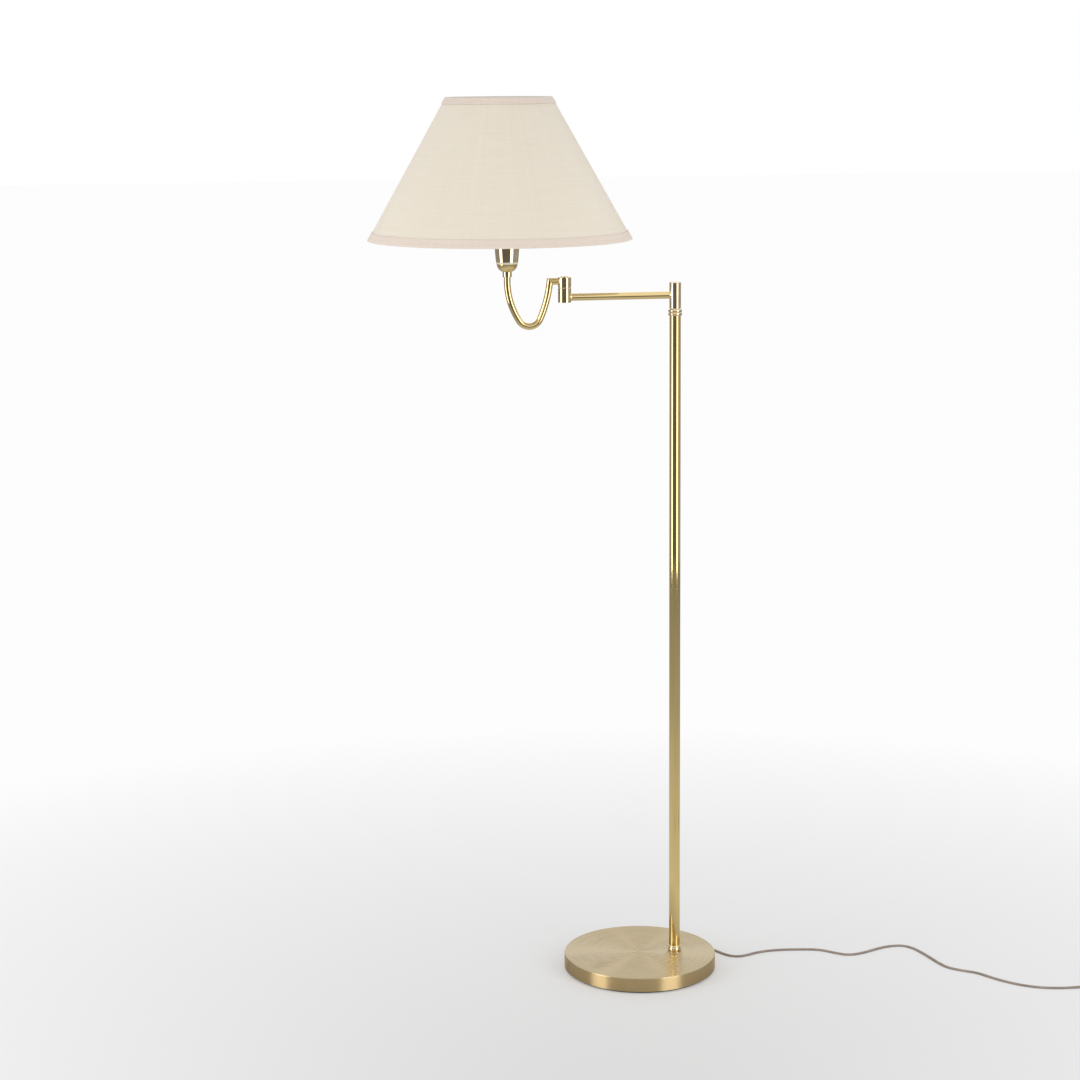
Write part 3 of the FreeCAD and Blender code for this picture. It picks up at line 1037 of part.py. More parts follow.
plug_entry = Vector(value("at.plug_x"), value("at.plug_y"), value("lamp.plug_height / 2"))
straight = value("lamp.cord_diameter")
switch_exit = switch_entry + along * value("lamp.switch_length")
quarters = math.ceil((sweep / 2 - math.pi / 2) / (math.pi / 2))
knots = [(sweep / 2 - math.pi / 2) * step / quarters for step in range(quarters + 1)]
knots += [sweep / 2] + [sweep - knot for knot in reversed(knots)]
coil_start = coil_point(0)[0]
stations = [(switch_exit + along * straight, along), (coil_start - along * 2 * straight, along)]
stations += [coil_point(knot) for knot in knots]
stations += [(plug_entry - across * straight, across)]
coil_edges = [Part.LineSegment(switch_exit, stations[0][0]).toShape()]
for (start, ahead), (end, onward) in zip(stations, stations[1:]):
    coil_edges += biarc(start, ahead, end, onward)
coil_edges.append(Part.LineSegment(stations[-1][0], plug_entry).toShape())
coil_path = Part.Wire(coil_edges)
coil_tube = swept(coil_path, cord_radius)
samples = [point for edge in coil_edges for point in edge.discretize(9)[:-1]]
reach = [0.0]
for first, second in zip(samples, samples[1:]):
    reach.append(reach[-1] + (second - first).Length)
least, nearest = min(
    ((samples[i] - samples[j]).Length, samples[i])
    for i in range(len(samples)) for j in range(i + 1, len(samples))
    if reach[j] - reach[i] > 6 * cord_radius
)
print("coil least gap to itself", round(least - 2 * cord_radius, 2), "near",
      [round(c) for c in nearest - coil_centre], "length", round(coil_path.Length),
      "volume to section times length",
      round(coil_tube.Volume / (math.pi * cord_radius ** 2 * coil_path.Length), 4))
finish("cord_coil", formed("coil", coil_tube))


# ---------------------------------------------------------------- switch and plug on the cord
def slab(stations, foot, top, edge):
    """A flat moulding, the same on both sides of its axis, from its half widths along the axis."""
    side = [Vector(x, half, foot) for x, half in stations]
    other = [Vector(x, -half, foot) for x, half in reversed(stations)]
    outline = side + other
    solid = Part.Face(Part.makePolygon(outline + outline[:1])).extrude(Vector(0, 0, top - foot))
    if not edge:
        return solid
    upright = [e for e in solid.Edges if abs(e.tangentAt(e.FirstParameter).z) > 0.9]
    return solid.makeFillet(edge, upright)


def rounded_rim(solid, height, edge):
    """Rounds the level edges of a moulding at one height."""
    rim = [e for e in solid.Edges if all(abs(v.Z - height) < 1e-4 for v in e.Vertexes)]
    return solid.makeFillet(edge, rim)


switch_half = value("lamp.switch_length / 2")
wall = value("lamp.switch_wall")
split, switch_top = value("lamp.switch_split"), value("lamp.switch_height")
edge = value("lamp.switch_edge")


def switch_plan(inset):
    """Half widths of the hand switch along its length, inset from its outside."""
    middle = switch_half - value("lamp.switch_shoulder")
    narrow = value("lamp.switch_end_width / 2") - inset
    wide = value("lamp.switch_width / 2") - inset
    return [(-switch_half + inset, narrow), (-middle, wide), (middle, wide), (switch_half - inset, narrow)]


def switch_screws(radius, foot, top):
    """An upright bar at each screw of the switch."""
    x, y = value("lamp.screw_place_x"), value("lamp.screw_place_y")
    return [Part.makeCylinder(radius, top - foot, Vector(sign * x, sign * y, foot)) for sign in (1, -1)]


cord_bore = Part.makeCylinder(cord_radius + value("lamp.cord_hole_gap"), 2 * switch_half + 2,
                              Vector(-switch_half - 1, 0, split), Vector(1, 0, 0))
boss, screw = value("lamp.screw_boss"), value("lamp.screw_radius")
head_radius, head_height = value("lamp.screw_head_radius"), value("lamp.screw_head_height")
hole_gap = value("lamp.cord_hole_gap") / 3
lower = rounded_rim(slab(switch_plan(0), 0, split, edge), 0, edge)
lower = lower.cut(slab(switch_plan(wall), wall, split, 0)).fuse(switch_screws(boss, wall / 2, split))
lower = lower.cut([cord_bore] + switch_screws(screw + hole_gap, -1, split + 1)
                  + switch_screws(head_radius + hole_gap, -1, head_height + hole_gap))
SWITCH = {"x": "at.switch_mid_x", "y": "at.switch_mid_y", "compass": "lamp.cord_heading"}
finish("switch_lower_shell", formed("lower_shell", lower.removeSplitter(), **SWITCH))

window_x = value("lamp.rocker_length / 2 + lamp.rocker_gap")
window_y = value("lamp.rocker_width / 2") + 3 * hole_gap
cheek = value("lamp.cheek_thick")
pivot, pin = value("lamp.rocker_pivot"), value("lamp.rocker_pin")
upper = rounded_rim(slab(switch_plan(0), split, switch_top, edge), switch_top, edge)
upper = upper.cut(slab(switch_plan(wall), split, switch_top - wall, 0))
cheeks = [
    Part.makeBox(value("lamp.cheek_length"), cheek, switch_top - wall / 2 - pivot + 2 * pin,
                 Vector(-value("lamp.cheek_length / 2"), place_y, pivot - 2 * pin))
    for place_y in (window_y, -window_y - cheek)
]
upper = upper.fuse(cheeks + switch_screws(boss, split, switch_top - wall / 2))
window = Part.makeBox(2 * window_x, 2 * window_y, 2 * wall, Vector(-window_x, -window_y, switch_top - 1.5 * wall))
pin_hole = Part.makeCylinder(pin + value("lamp.fit_gap"), 2 * (window_y + cheek) + 1,
                             Vector(0, -window_y - cheek - 0.5, pivot), Vector(0, 1, 0))
upper = upper.cut([window, pin_hole, cord_bore]
                  + switch_screws(screw + hole_gap, split - 1, value("lamp.screw_length") + head_height))
finish("switch_upper_shell", formed("upper_shell", upper.removeSplitter(), **SWITCH))

# Rocker with its pivot pin. It lies tilted, off, with its far end down.
rocker_half, rocker_wide = value("lamp.rocker_length / 2"), value("lamp.rocker_width / 2")
rocker_foot = -value("lamp.rocker_drop")
rocker_top = rocker_foot + value("lamp.rocker_height")
rocker_outline = [
    Vector(-rocker_half, -rocker_wide, rocker_top), Vector(-rocker_half, -rocker_wide, rocker_top / 2),
    Vector(-rocker_half / 2, -rocker_wide, rocker_foot), Vector(rocker_half / 2, -rocker_wide, rocker_foot),
    Vector(rocker_half, -rocker_wide, rocker_top / 2), Vector(rocker_half, -rocker_wide, rocker_top),
]
rocker_face = Part.Face(Part.Wire(
    [Part.LineSegment(a, b).toShape() for a, b in zip(rocker_outline, rocker_outline[1:])]
    + [Part.Arc(rocker_outline[-1], Vector(0, -rocker_wide, rocker_top - 0.8), rocker_outline[0]).toShape()]))
rocker = rocker_face.extrude(Vector(0, 2 * rocker_wide, 0)).fuse(
    Part.makeCylinder(pin, 2 * (window_y + cheek) - 0.6, Vector(0, -window_y - cheek + 0.3, 0), Vector(0, 1, 0)))
rocker.rotate(Vector(), Vector(0, 1, 0), value("lamp.rocker_tilt"))
rocker.translate(UP * pivot)
finish("switch_rocker", formed("rocker", rocker.removeSplitter(), **SWITCH))

screw_bars = switch_screws(screw, head_height / 2, value("lamp.screw_length"))
screw_heads = switch_screws(head_radius, hole_gap, head_height)
finish("switch_screws", formed("screw_pair", Part.makeCompound(
    [bar.fuse(head).removeSplitter() for bar, head in zip(screw_bars, screw_heads)]), **SWITCH))
terminal = [value(f"lamp.terminal_{side}") for side in ("length", "width", "height")]
finish("switch_contacts", formed("contacts", Part.makeCompound([
    Part.makeBox(*terminal, Vector(sign * value("lamp.screw_place_x") * 0.75 - terminal[0] / 2,
                                   -sign * value("lamp.screw_place_y") * 0.9 - terminal[1] / 2, wall))
    for sign in (1, -1)]), **SWITCH))

# Flat plug moulded on the cord, and its two round pins.
plug_length = value("lamp.plug_length")
plug = slab([
    (0, value("lamp.plug_rear_width / 2")),
    (value("lamp.plug_shoulder"), value("lamp.plug_width / 2")),
    (plug_length - value("lamp.plug_chamfer"), value("lamp.plug_width / 2")),
    (plug_length, value("lamp.plug_face_width / 2")),
], 0, value("lamp.plug_height"), value("lamp.plug_edge"))
plug = rounded_rim(plug, 0, value("lamp.plug_edge / 2"))
plug = rounded_rim(plug, value("lamp.plug_height"), value("lamp.plug_edge / 2"))
pin_roots = [
    Part.makeCylinder(value("lamp.pin_root_radius"), value("lamp.pin_seat"),
                      Vector(plug_length - value("lamp.pin_seat"), sign * value("lamp.pin_spacing / 2"),
                             value("lamp.plug_height / 2")), Vector(1, 0, 0))
    for sign in (1, -1)
]
PLUG = {"x": "at.plug_x", "y": "at.plug_y", "compass": "at.plug_turn"}
finish("plug_body", formed("plug", plug.cut(pin_roots), **PLUG))
tip = value("lamp.pin_radius / 2")
pins = []
for sign, root in zip((1, -1), pin_roots):
    bar = Part.makeCylinder(value("lamp.pin_radius"), value("lamp.pin_length"),
                            Vector(plug_length, sign * value("lamp.pin_spacing / 2"),
                                   value("lamp.plug_height / 2")), Vector(1, 0, 0))
    far_rim = [e for e in bar.Edges if all(v.X > plug_length + tip for v in e.Vertexes)]
    pins.append(root.fuse(bar.makeFillet(tip, far_rim)))
finish("plug_pins", formed("pins", Part.makeCompound(pins), **PLUG))

# ---------------------------------------------------------------- check and write
doc.recompute()
failed = [obj.Label for obj in doc.Objects if {"Invalid", "Error"} & set(obj.State)]
if failed:
    raise SystemExit(f"not recomputed: {failed}")
for obj in pieces:
    if obj.Shape.isNull() or not obj.Shape.isValid() or not obj.Shape.Solids:
        raise SystemExit(f"bad shape: {obj.Label}")
for obj in pieces:
    obj.Shape.exportStep(f"parts/{obj.Label}.step")
print(len(pieces), "pieces written")
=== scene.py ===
import math

import bmesh
import bpy
from mathutils import Euler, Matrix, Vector


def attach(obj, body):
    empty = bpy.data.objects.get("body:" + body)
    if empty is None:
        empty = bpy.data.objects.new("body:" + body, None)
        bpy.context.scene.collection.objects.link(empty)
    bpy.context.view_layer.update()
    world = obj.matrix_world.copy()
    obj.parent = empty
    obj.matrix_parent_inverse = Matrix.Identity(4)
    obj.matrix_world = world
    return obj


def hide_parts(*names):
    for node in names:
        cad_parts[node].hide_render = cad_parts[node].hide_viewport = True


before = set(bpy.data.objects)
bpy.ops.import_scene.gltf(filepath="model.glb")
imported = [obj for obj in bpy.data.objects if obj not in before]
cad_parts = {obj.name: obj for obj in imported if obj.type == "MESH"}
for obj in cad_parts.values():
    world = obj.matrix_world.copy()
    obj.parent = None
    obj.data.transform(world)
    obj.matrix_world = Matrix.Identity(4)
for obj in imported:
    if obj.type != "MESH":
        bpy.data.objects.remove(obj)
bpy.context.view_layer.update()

# ------------------------------------------------------------------------------------------ camera
# A long lens at chest height in front of the lamp, a little to its left, looking slightly down.
# The back is shifted so that lamp and floor share the frame.
lens = bpy.data.cameras.new("studio_camera")
lens.lens, lens.sensor_width, lens.shift_y = 82.198, 36.0, -0.10
camera = bpy.data.objects.new("studio_camera", lens)
camera.location = (-0.815868, -3.846881, 1.475003)
camera.rotation_euler = Euler((1.425203, 0.006650, -0.169308))
bpy.context.scene.collection.objects.link(camera)
bpy.context.scene.camera = camera

# -------------------------------------------------------------------------------------------- cord
# Flat twin flex, two cores side by side in soft taupe plastic. It leaves the back of the base, wanders
# over the floor to a hand switch, and the rest is wound into a neat round coil that ends in the plug.
flex_width, flex_thick = 0.0054, 0.0031
flex_lie = flex_thick / 2 + 0.00005
bush_tip = Vector((0.03856, 0.14392, 0.008))
heading = math.radians(-6)
along = Vector((math.cos(heading), math.sin(heading), 0))
across = Vector((-along.y, along.x, 0))
switch_entry = Vector((0.716, -0.2353, 0.007))
switch_middle = switch_entry + along * 0.029
switch_exit = switch_entry + along * 0.058
wander = [
    (.04149, .15484, .0080), (.0502, .1626, .0058), (.0619, .1645, .0034), (.0727, .1597, 0),
    (.0803, .1480, 0), (.0913, .1290, 0), (.1072, .1035, 0), (.1220, .0751, 0), (.1370, .0491, 0),
    (.1460, .0320, 0), (.1530, .0205, 0), (.1620, .0120, 0), (.1745, .0090, 0), (.1870, .0125, 0),
    (.2030, .0205, 0), (.2220, .0255, 0), (.2430, .0270, 0), (.2660, .0250, 0), (.2900, .0210, 0),
    (.3150, .0150, 0), (.3360, -.0060, 0), (.3540, -.0190, 0), (.3780, -.0150, 0), (.4020, -.0030, 0),
    (.4280, .0085, 0), (.4550, .0100, 0), (.4700, -.0050, 0), (.4780, -.0290, 0), (.4840, -.0540, 0),
    (.4900, -.0820, 0), (.4980, -.1060, 0), (.5180, -.1240, 0), (.5380, -.1370, 0), (.5520, -.1600, 0),
    (.5680, -.1820, 0), (.5890, -.2030, 0), (.6140, -.2190, 0), (.6430, -.2270, 0), (.6670, -.2292, 0),
    (.6870, -.2322, .0033), (.70307, -.23394, .0070),
]
coil_radius, coil_pitch, coil_turns = 0.039, 0.006, 5.25
coil_start = switch_exit + along * 0.036
coil_middle = Vector((coil_start.x, coil_start.y, 0)) + across * coil_radius
plug_entry = coil_middle + along * coil_radius + across * 0.036 + Vector((0, 0, 0.007))


def coil_point(turns):
    """A point of the coil: it spirals in below, climbs where it turns back, and spirals out above."""
    inward = min(turns, coil_turns - turns)
    radius = (coil_radius - coil_pitch * inward) / math.cos(math.pi / 16)
    climb = min(max((turns - coil_turns / 2) * 2 + 0.5, 0), 1)
    compass = heading - math.pi / 2 + turns * 2 * math.pi
    place = coil_middle + radius * Vector((math.cos(compass), math.sin(compass), 0))
    place.z = flex_lie + 1.15 * flex_thick * climb * climb * (3 - 2 * climb)
    return place


def grounded(place):
    """A point of the route; one with no height of its own lies on the floor."""
    return Vector((place[0], place[1], place[2] or flex_lie))


low = Vector((0, 0, flex_lie - 0.007))
route = [bush_tip] + [grounded(place) for place in wander]
route += [switch_entry, switch_middle, switch_exit, switch_exit + along * 0.0065]
route += [switch_exit + along * 0.016 + low * 0.6, switch_exit + along * 0.026 + low]
route += [coil_point(step / 16) for step in range(int(coil_turns * 16) + 1)]
route += [plug_entry - across * 0.024 + low * 0.75, plug_entry - across * 0.012 + low * 0.12,
          plug_entry - across * 0.0054, plug_entry + across * 0.004]

flex = bpy.data.curves.new("flex", "CURVE")
flex.dimensions, flex.twist_mode, flex.resolution_u = "3D", "Z_UP", 6
flex.extrude, flex.bevel_depth, flex.bevel_resolution = (flex_width - flex_thick) / 2, flex_thick / 2, 4
flex.use_fill_caps = True
line = flex.splines.new("NURBS")
line.points.add(len(route) - 1)
for point, place in zip(line.points, route):
    point.co = (*place, 1)
    point.tilt = math.radians(90)
line.order_u = 3
line.use_endpoint_u = True
flex_piece = bpy.data.objects.new("flex", flex)
bpy.context.scene.collection.objects.link(flex_piece)


def begun(name, colour, metallic=0.0, roughness=0.5, **sockets):
    """A new finish: one shader with the values that are the same all over."""
    finish = bpy.data.materials.new(name)
    finish.use_nodes = True
    finish.diffuse_color = (*colour, 1)
    shader = finish.node_tree.nodes["Principled BSDF"]
    shader.inputs["Base Color"].default_value = (*colour, 1)
    shader.inputs["Metallic"].default_value = metallic
    shader.inputs["Roughness"].default_value = roughness
    for socket, value in sockets.items():
        shader.inputs[socket.replace("_", " ")].default_value = value
    return finish


def laid(finish, kind, inputs=None, **settings):
    """Lays one more node into a finish; an input is a number or what another node gives."""
    node = finish.node_tree.nodes.new(kind)
    for setting, value in settings.items():
        setattr(node, setting, value)
    for socket, value in (inputs or {}).items():
        if isinstance(value, bpy.types.NodeSocket):
            finish.node_tree.links.new(value, node.inputs[socket])
        else:
            node.inputs[socket].default_value = value
    return node.outputs[0]


def put(finish, socket, value):
    """Leads what a node gives to the finish's shader."""
    finish.node_tree.links.new(value, finish.node_tree.nodes["Principled BSDF"].inputs[socket])


def own_place(finish, move=(0, 0, 0), stretch=(1, 1, 1)):
    """The piece's own coordinates in metres, moved to a centre and stretched."""
    coordinates = finish.node_tree.nodes.new("ShaderNodeTexCoord").outputs["Object"]
    return laid(finish, "ShaderNodeMapping", {"Vector": coordinates, "Location": move, "Scale": stretch})


def clouds(finish, where, scale, detail=3.0, roughness=0.5):
    """Soft irregular noise from 0 to 1."""
    return laid(finish, "ShaderNodeTexNoise", {"Vector": where, "Scale": scale, "Detail": detail,
                                               "Roughness": roughness})


def between(finish, factor, low_value, high_value, start=0.0, end=1.0):
    """A number that goes from one value to another with the factor."""
    return laid(finish, "ShaderNodeMapRange", {"Value": factor, "From Min": start, "From Max": end,
                                               "To Min": low_value, "To Max": high_value})


def shades(finish, factor, *stops):
    """Colours along the factor, each stop a place and a colour."""
    ramp = finish.node_tree.nodes.new("ShaderNodeValToRGB")
    while len(ramp.color_ramp.elements) < len(stops):
        ramp.color_ramp.elements.new(0.5)
    for element, (place, colour) in zip(ramp.color_ramp.elements, stops):
        element.position, element.color = place, (*colour, 1)
    finish.node_tree.links.new(factor, ramp.inputs["Fac"])
    return ramp.outputs["Color"]


def relief(finish, height, depth, strength=1.0, under=None):
    """Raises the surface by a pattern, depth in metres, over another relief if one is given."""
    inputs = {"Height": height, "Distance": depth, "Strength": strength}
    if under is not None:
        inputs["Normal"] = under
    return laid(finish, "ShaderNodeBump", inputs)


def plastic(name, dark, light, roughness, grain=900.0, coat=0.0):
    """Moulded plastic: a slight cloudiness, a fine matt grain, and dulled spots from handling."""
    finish = begun(name, light, roughness=roughness, Coat_Weight=coat)
    where = own_place(finish)
    put(finish, "Base Color", shades(finish, clouds(finish, where, 38.0, 5.0), (0.3, dark), (0.72, light)))
    put(finish, "Roughness", between(finish, clouds(finish, where, 130.0, 4.0),
                                     roughness - 0.08, roughness + 0.14, 0.35, 0.7))
    skin = relief(finish, clouds(finish, where, grain, 2.0), 0.00006, 0.6)
    put(finish, "Normal", relief(finish, clouds(finish, where, 55.0, 2.0), 0.0004, 0.25, skin))
    return finish


flex.materials.append(plastic("taupe_flex", (.215, .170, .135), (.335, .270, .222), 0.42, 1400.0))
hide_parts("supply_cord", "cord_coil")
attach(flex_piece, "base_and_pole")

# ------------------------------------------------------------------------------- switch and plug
# Two dark moulded shells held by screws from below, with a glossy rocker, and a flat two-pin plug
# moulded on the flex. They keep the shape of their solids.
moulded = plastic("dark_moulding", (.050, .040, .031), (.078, .062, .048), 0.40)
rocker_plastic = plastic("rocker_moulding", (.038, .030, .024), (.058, .046, .037), 0.24, 1600.0, coat=0.3)


def clad(finish, *names):
    """Gives solids that keep their shape their finish."""
    for name in names:
        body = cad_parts[name].data
        body.materials.clear()
        body.materials.append(finish)


clad(moulded, "switch_lower_shell", "switch_upper_shell", "plug_body")
clad(rocker_plastic, "switch_rocker")


def metal(name, dark, light, roughness, scale=60.0, scratch=0.00001):
    """Bare or plated metal: faint stains in its colour, dulled patches, and fine scratches."""
    finish = begun(name, light, metallic=1.0, roughness=roughness)
    where = own_place(finish)
    put(finish, "Base Color", shades(finish, clouds(finish, where, scale, 5.0, 0.6),
                                     (0.28, dark), (0.62, light)))
    put(finish, "Roughness", between(finish, clouds(finish, where, scale * 3, 4.0),
                                     roughness * 0.7, roughness * 1.5, 0.3, 0.75))
    fine = clouds(finish, own_place(finish, stretch=(1, 1, 14)), 420.0, 2.0)
    put(finish, "Normal", relief(finish, fine, scratch, 0.5))
    return finish


contact_brass = metal("bright_contacts", (.62, .44, .20), (.80, .62, .32), 0.22)
zinc_steel = metal("zinc_plate", (.40, .40, .38), (.60, .60, .57), 0.34)
clad(contact_brass, "plug_pins", "switch_contacts")
clad(zinc_steel, "switch_screws")

# -------------------------------------------------------------------------------------------- base
# A cast weight under a spun brass cover, brushed in circles on the lathe and lacquered, on a disc of
# felt. The cover's rim is rolled over a small radius, and its skirt stops just above the floor.
base_radius, base_top, skirt_foot, cover_wall = 0.125, 0.0255, 0.003, 0.0015


def turned(name, stations, capped=True, around=96):
    """Draws a ring out from station to station, each a radius and a height, as on a lathe."""
    bpy.ops.object.select_all(action="DESELECT")
    radius, height = stations[0]
    bpy.ops.mesh.primitive_circle_add(vertices=around, radius=radius, location=(0, 0, height),
                                      fill_type="NGON" if capped else "NOTHING")
    piece = bpy.context.object
    piece.name = piece.data.name = name
    bpy.ops.object.mode_set(mode="EDIT")
    bpy.ops.mesh.select_all(action="SELECT")
    for next_radius, next_height in stations[1:]:
        bpy.ops.mesh.extrude_region_move(TRANSFORM_OT_translate={"value": (0, 0, next_height - height)})
        wider = next_radius / radius
        bpy.ops.transform.resize(value=(wider, wider, 1), center_override=(0, 0, next_height))
        radius, height = next_radius, next_height
    bpy.ops.object.mode_set(mode="OBJECT")
    return piece


def tidied(piece):
    """Merges what lies together and turns all faces outwards."""
    bpy.context.view_layer.objects.active = piece
    piece.select_set(True)
    bpy.ops.object.mode_set(mode="EDIT")
    bpy.ops.mesh.select_all(action="SELECT")
    bpy.ops.mesh.remove_doubles(threshold=0.000002)
    bpy.ops.mesh.normals_make_consistent(inside=False)
    bpy.ops.object.mode_set(mode="OBJECT")


def made(piece, finish, body, nodes=(), rounding=0.0, wall=0.0, place=(0, 0, 0), turn=(0, 0, 0),
         smooth=20, sharp=32):
    """Gives a piece its rounded edges, wall and place, and puts it on its body for its solids."""
    bpy.ops.object.select_all(action="DESELECT")
    tidied(piece)
    piece.location = Vector(place) + Euler(turn).to_matrix() @ piece.location
    piece.rotation_euler = turn
    bpy.ops.object.transform_apply(location=True, rotation=True, scale=True)
    if rounding:
        soft = piece.modifiers.new("broken_edge", "BEVEL")
        soft.width, soft.segments, soft.limit_method = rounding, 2, "ANGLE"
        soft.angle_limit, soft.use_clamp_overlap = math.radians(sharp), True
        bpy.ops.object.modifier_apply(modifier=soft.name)
    if wall:
        sheet = piece.modifiers.new("wall", "SOLIDIFY")
        sheet.thickness, sheet.offset, sheet.use_even_offset = wall, -1, True
        bpy.ops.object.modifier_apply(modifier=sheet.name)
    bpy.ops.object.shade_smooth_by_angle(angle=math.radians(smooth))
    piece.data.materials.append(finish)
    if nodes:
        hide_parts(*nodes)
    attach(piece, body)
    return piece


def spun_brass(name, dark, light, roughness, grooves):
    """Brass brushed on the lathe: grooves round the axis, old dull streaks, and a painted reflection that pales
    the top face against the side.
    """
    finish = begun(name, light, metallic=1.0, roughness=roughness, Anisotropic=1.0,
                   Anisotropic_Rotation=0.25)
    put(finish, "Tangent", laid(finish, "ShaderNodeTangent", direction_type="RADIAL", axis="Z"))
    where = own_place(finish)
    parts = finish.node_tree.nodes.new("ShaderNodeSeparateXYZ")
    finish.node_tree.links.new(where, parts.inputs[0])
    x, y, z = parts.outputs
    compass = laid(finish, "ShaderNodeMath", {0: y, 1: x}, operation="ARCTAN2")
    flat = laid(finish, "ShaderNodeCombineXYZ", {"X": x, "Y": y})
    reach = finish.node_tree.nodes.new("ShaderNodeVectorMath")
    reach.operation = "LENGTH"
    finish.node_tree.links.new(flat, reach.inputs[0])
    ring = laid(finish, "ShaderNodeCombineXYZ", {
        "X": laid(finish, "ShaderNodeMath", {0: reach.outputs["Value"], 1: grooves}, operation="MULTIPLY"),
        "Y": laid(finish, "ShaderNodeMath", {0: compass, 1: 1.3}, operation="MULTIPLY"),
        "Z": laid(finish, "ShaderNodeMath", {0: z, 1: grooves}, operation="MULTIPLY")})
    turning = clouds(finish, ring, 1.0, 4.0, 0.65)
    smudge = clouds(finish, own_place(finish, (0.03, -0.01, 0), (1, 2.6, 1)), 15.0, 2.5)
    stained = laid(finish, "ShaderNodeMath", {0: between(finish, turning, -0.05, 0.05, 0.25, 0.75), 1: smudge},
                   operation="ADD")
    # Painted reflection: the top face is tinted paler and bluer than the side, as if it mirrored pale light
    # above.
    painted_top_reflection = shades(finish, between(finish, z, 0.0, 1.0, base_top - 0.0022, base_top - 0.0004),
                   (0.0, (1, 1, 1)), (1.0, (.72, .78, .92)))
    put(finish, "Base Color", laid(finish, "ShaderNodeMixRGB", {
        0: 1.0, 1: shades(finish, stained, (0.20, dark), (0.36, light), (0.9, light)), 2: painted_top_reflection},
        blend_type="MULTIPLY"))
    put(finish, "Roughness", laid(finish, "ShaderNodeMath", {
        0: between(finish, turning, roughness * 0.75, roughness * 1.35, 0.3, 0.7),
        1: laid(finish, "ShaderNodeMath", {0: between(finish, smudge, 0.06, 0.0, 0.2, 0.5),
                                           1: between(finish, z, 0.10, 0.0, base_top - 0.0016, base_top)},
                operation="ADD")}, operation="ADD"))
    put(finish, "Normal", relief(finish, turning, 0.00003, 0.16))
    return finish


brushed_brass = spun_brass("brushed_brass", (.56, .40, .19), (.76, .565, .29), 0.26, 420.0)
cover = made(turned("base_cover_brushed", [(base_radius, skirt_foot), (base_radius, base_top - 0.0026),
                                           (base_radius, base_top)]),
             brushed_brass, "base_and_pole", ["base_cover"])
bpy.ops.object.select_all(action="DESELECT")
cover.select_set(True)
bpy.context.view_layer.objects.active = cover
bpy.ops.object.mode_set(mode="EDIT")
shell = bmesh.from_edit_mesh(cover.data)
for face in shell.faces:
    face.select = face.normal.z < -0.9
bmesh.update_edit_mesh(cover.data)
bpy.ops.mesh.delete(type="ONLY_FACE")
bpy.ops.mesh.select_mode(type="EDGE")
shell = bmesh.from_edit_mesh(cover.data)
for edge in shell.edges:
    edge.select = all(v.co.z > base_top - 0.0001 for v in edge.verts)
bmesh.update_edit_mesh(cover.data)
bpy.ops.mesh.bevel(offset=0.0018, segments=6, affect="EDGES")
bpy.ops.mesh.select_mode(type="VERT")
shell = bmesh.from_edit_mesh(cover.data)
for face in shell.faces:
    face.select = face.normal.z > 0.99 and len(face.verts) > 8
bmesh.update_edit_mesh(cover.data)
bpy.ops.mesh.inset(thickness=0.0004)
for part in range(6):
    bpy.ops.mesh.inset(thickness=0.0195)
bpy.ops.object.mode_set(mode="OBJECT")
sheet = cover.modifiers.new("wall", "SOLIDIFY")
sheet.thickness, sheet.offset = cover_wall, -1
bpy.ops.object.modifier_apply(modifier=sheet.name)
bpy.ops.object.shade_smooth_by_angle(angle=math.radians(35))


def cloth_pile(name, dark, light, scale):
    """Pressed felt: matted fibres, uneven colour and a soft sheen."""
    finish = begun(name, light, roughness=0.95, Sheen_Weight=0.4, Sheen_Roughness=0.5)
    where = own_place(finish)
    fibres = clouds(finish, where, scale, 6.0, 0.75)
    put(finish, "Base Color", shades(finish, fibres, (0.3, dark), (0.7, light)))
    put(finish, "Normal", relief(finish, fibres, 0.0004, 0.8))
    return finish


felt = cloth_pile("base_felt_pile", (.010, .018, .012), (.030, .046, .032), 900.0)
felt_radius, felt_thick = 0.121, 0.003
made(turned("base_felt_disc", [(felt_radius, 0.0), (felt_radius, felt_thick)]), felt, "base_and_pole",
     ["base_felt"], rounding=0.0005)
cast_iron = metal("rough_casting", (.035, .034, .033), (.080, .076, .072), 0.6, 90.0, 0.0002)
clad(cast_iron, "base_weight")
clad(zinc_steel, "foot_nipple", "foot_nut", "foot_washer", "pole_foot_insert")

# Soft strain relief where the flex leaves the skirt: a flange outside the cover, a neck through it, and
# a ribbed sleeve that tapers to the flex.
exit_angle = math.radians(75)
ribs = [(0.0050, -0.0045), (0.0050, 0.0), (0.0060, 0.0), (0.0060, 0.0020), (0.0046, 0.0022)]
groove = 0.0006
for rib in range(5):
    foot, size = 0.0042 + 0.0036 * rib, 0.0045 - 0.00019 * rib
    ribs += [(size, foot), (size, foot + 0.0018)]
    ribs += [(size - groove, foot + 0.0021), (size - groove, foot + 0.0033)]
ribs += [(0.0035, 0.0228), (0.0035, 0.0240), (0.0029, 0.0240), (0.0028, 0.0200)]
made(turned("flex_bush", ribs, around=40), moulded, "base_and_pole", ["cord_bush"],
     place=(base_radius * math.cos(exit_angle), base_radius * math.sin(exit_angle), 0.008),
     turn=(0, math.pi / 2, exit_angle), rounding=0.0002, sharp=25)

# -------------------------------------------------------------------------------------------- pole
# Drawn brass tube, polished and lacquered, screwed to the base through a turned collar of two beads.
# A head of two more beads closes it under the swivel.
pole_x, pole_radius, pole_top = 0.059, 0.009, 1.0848


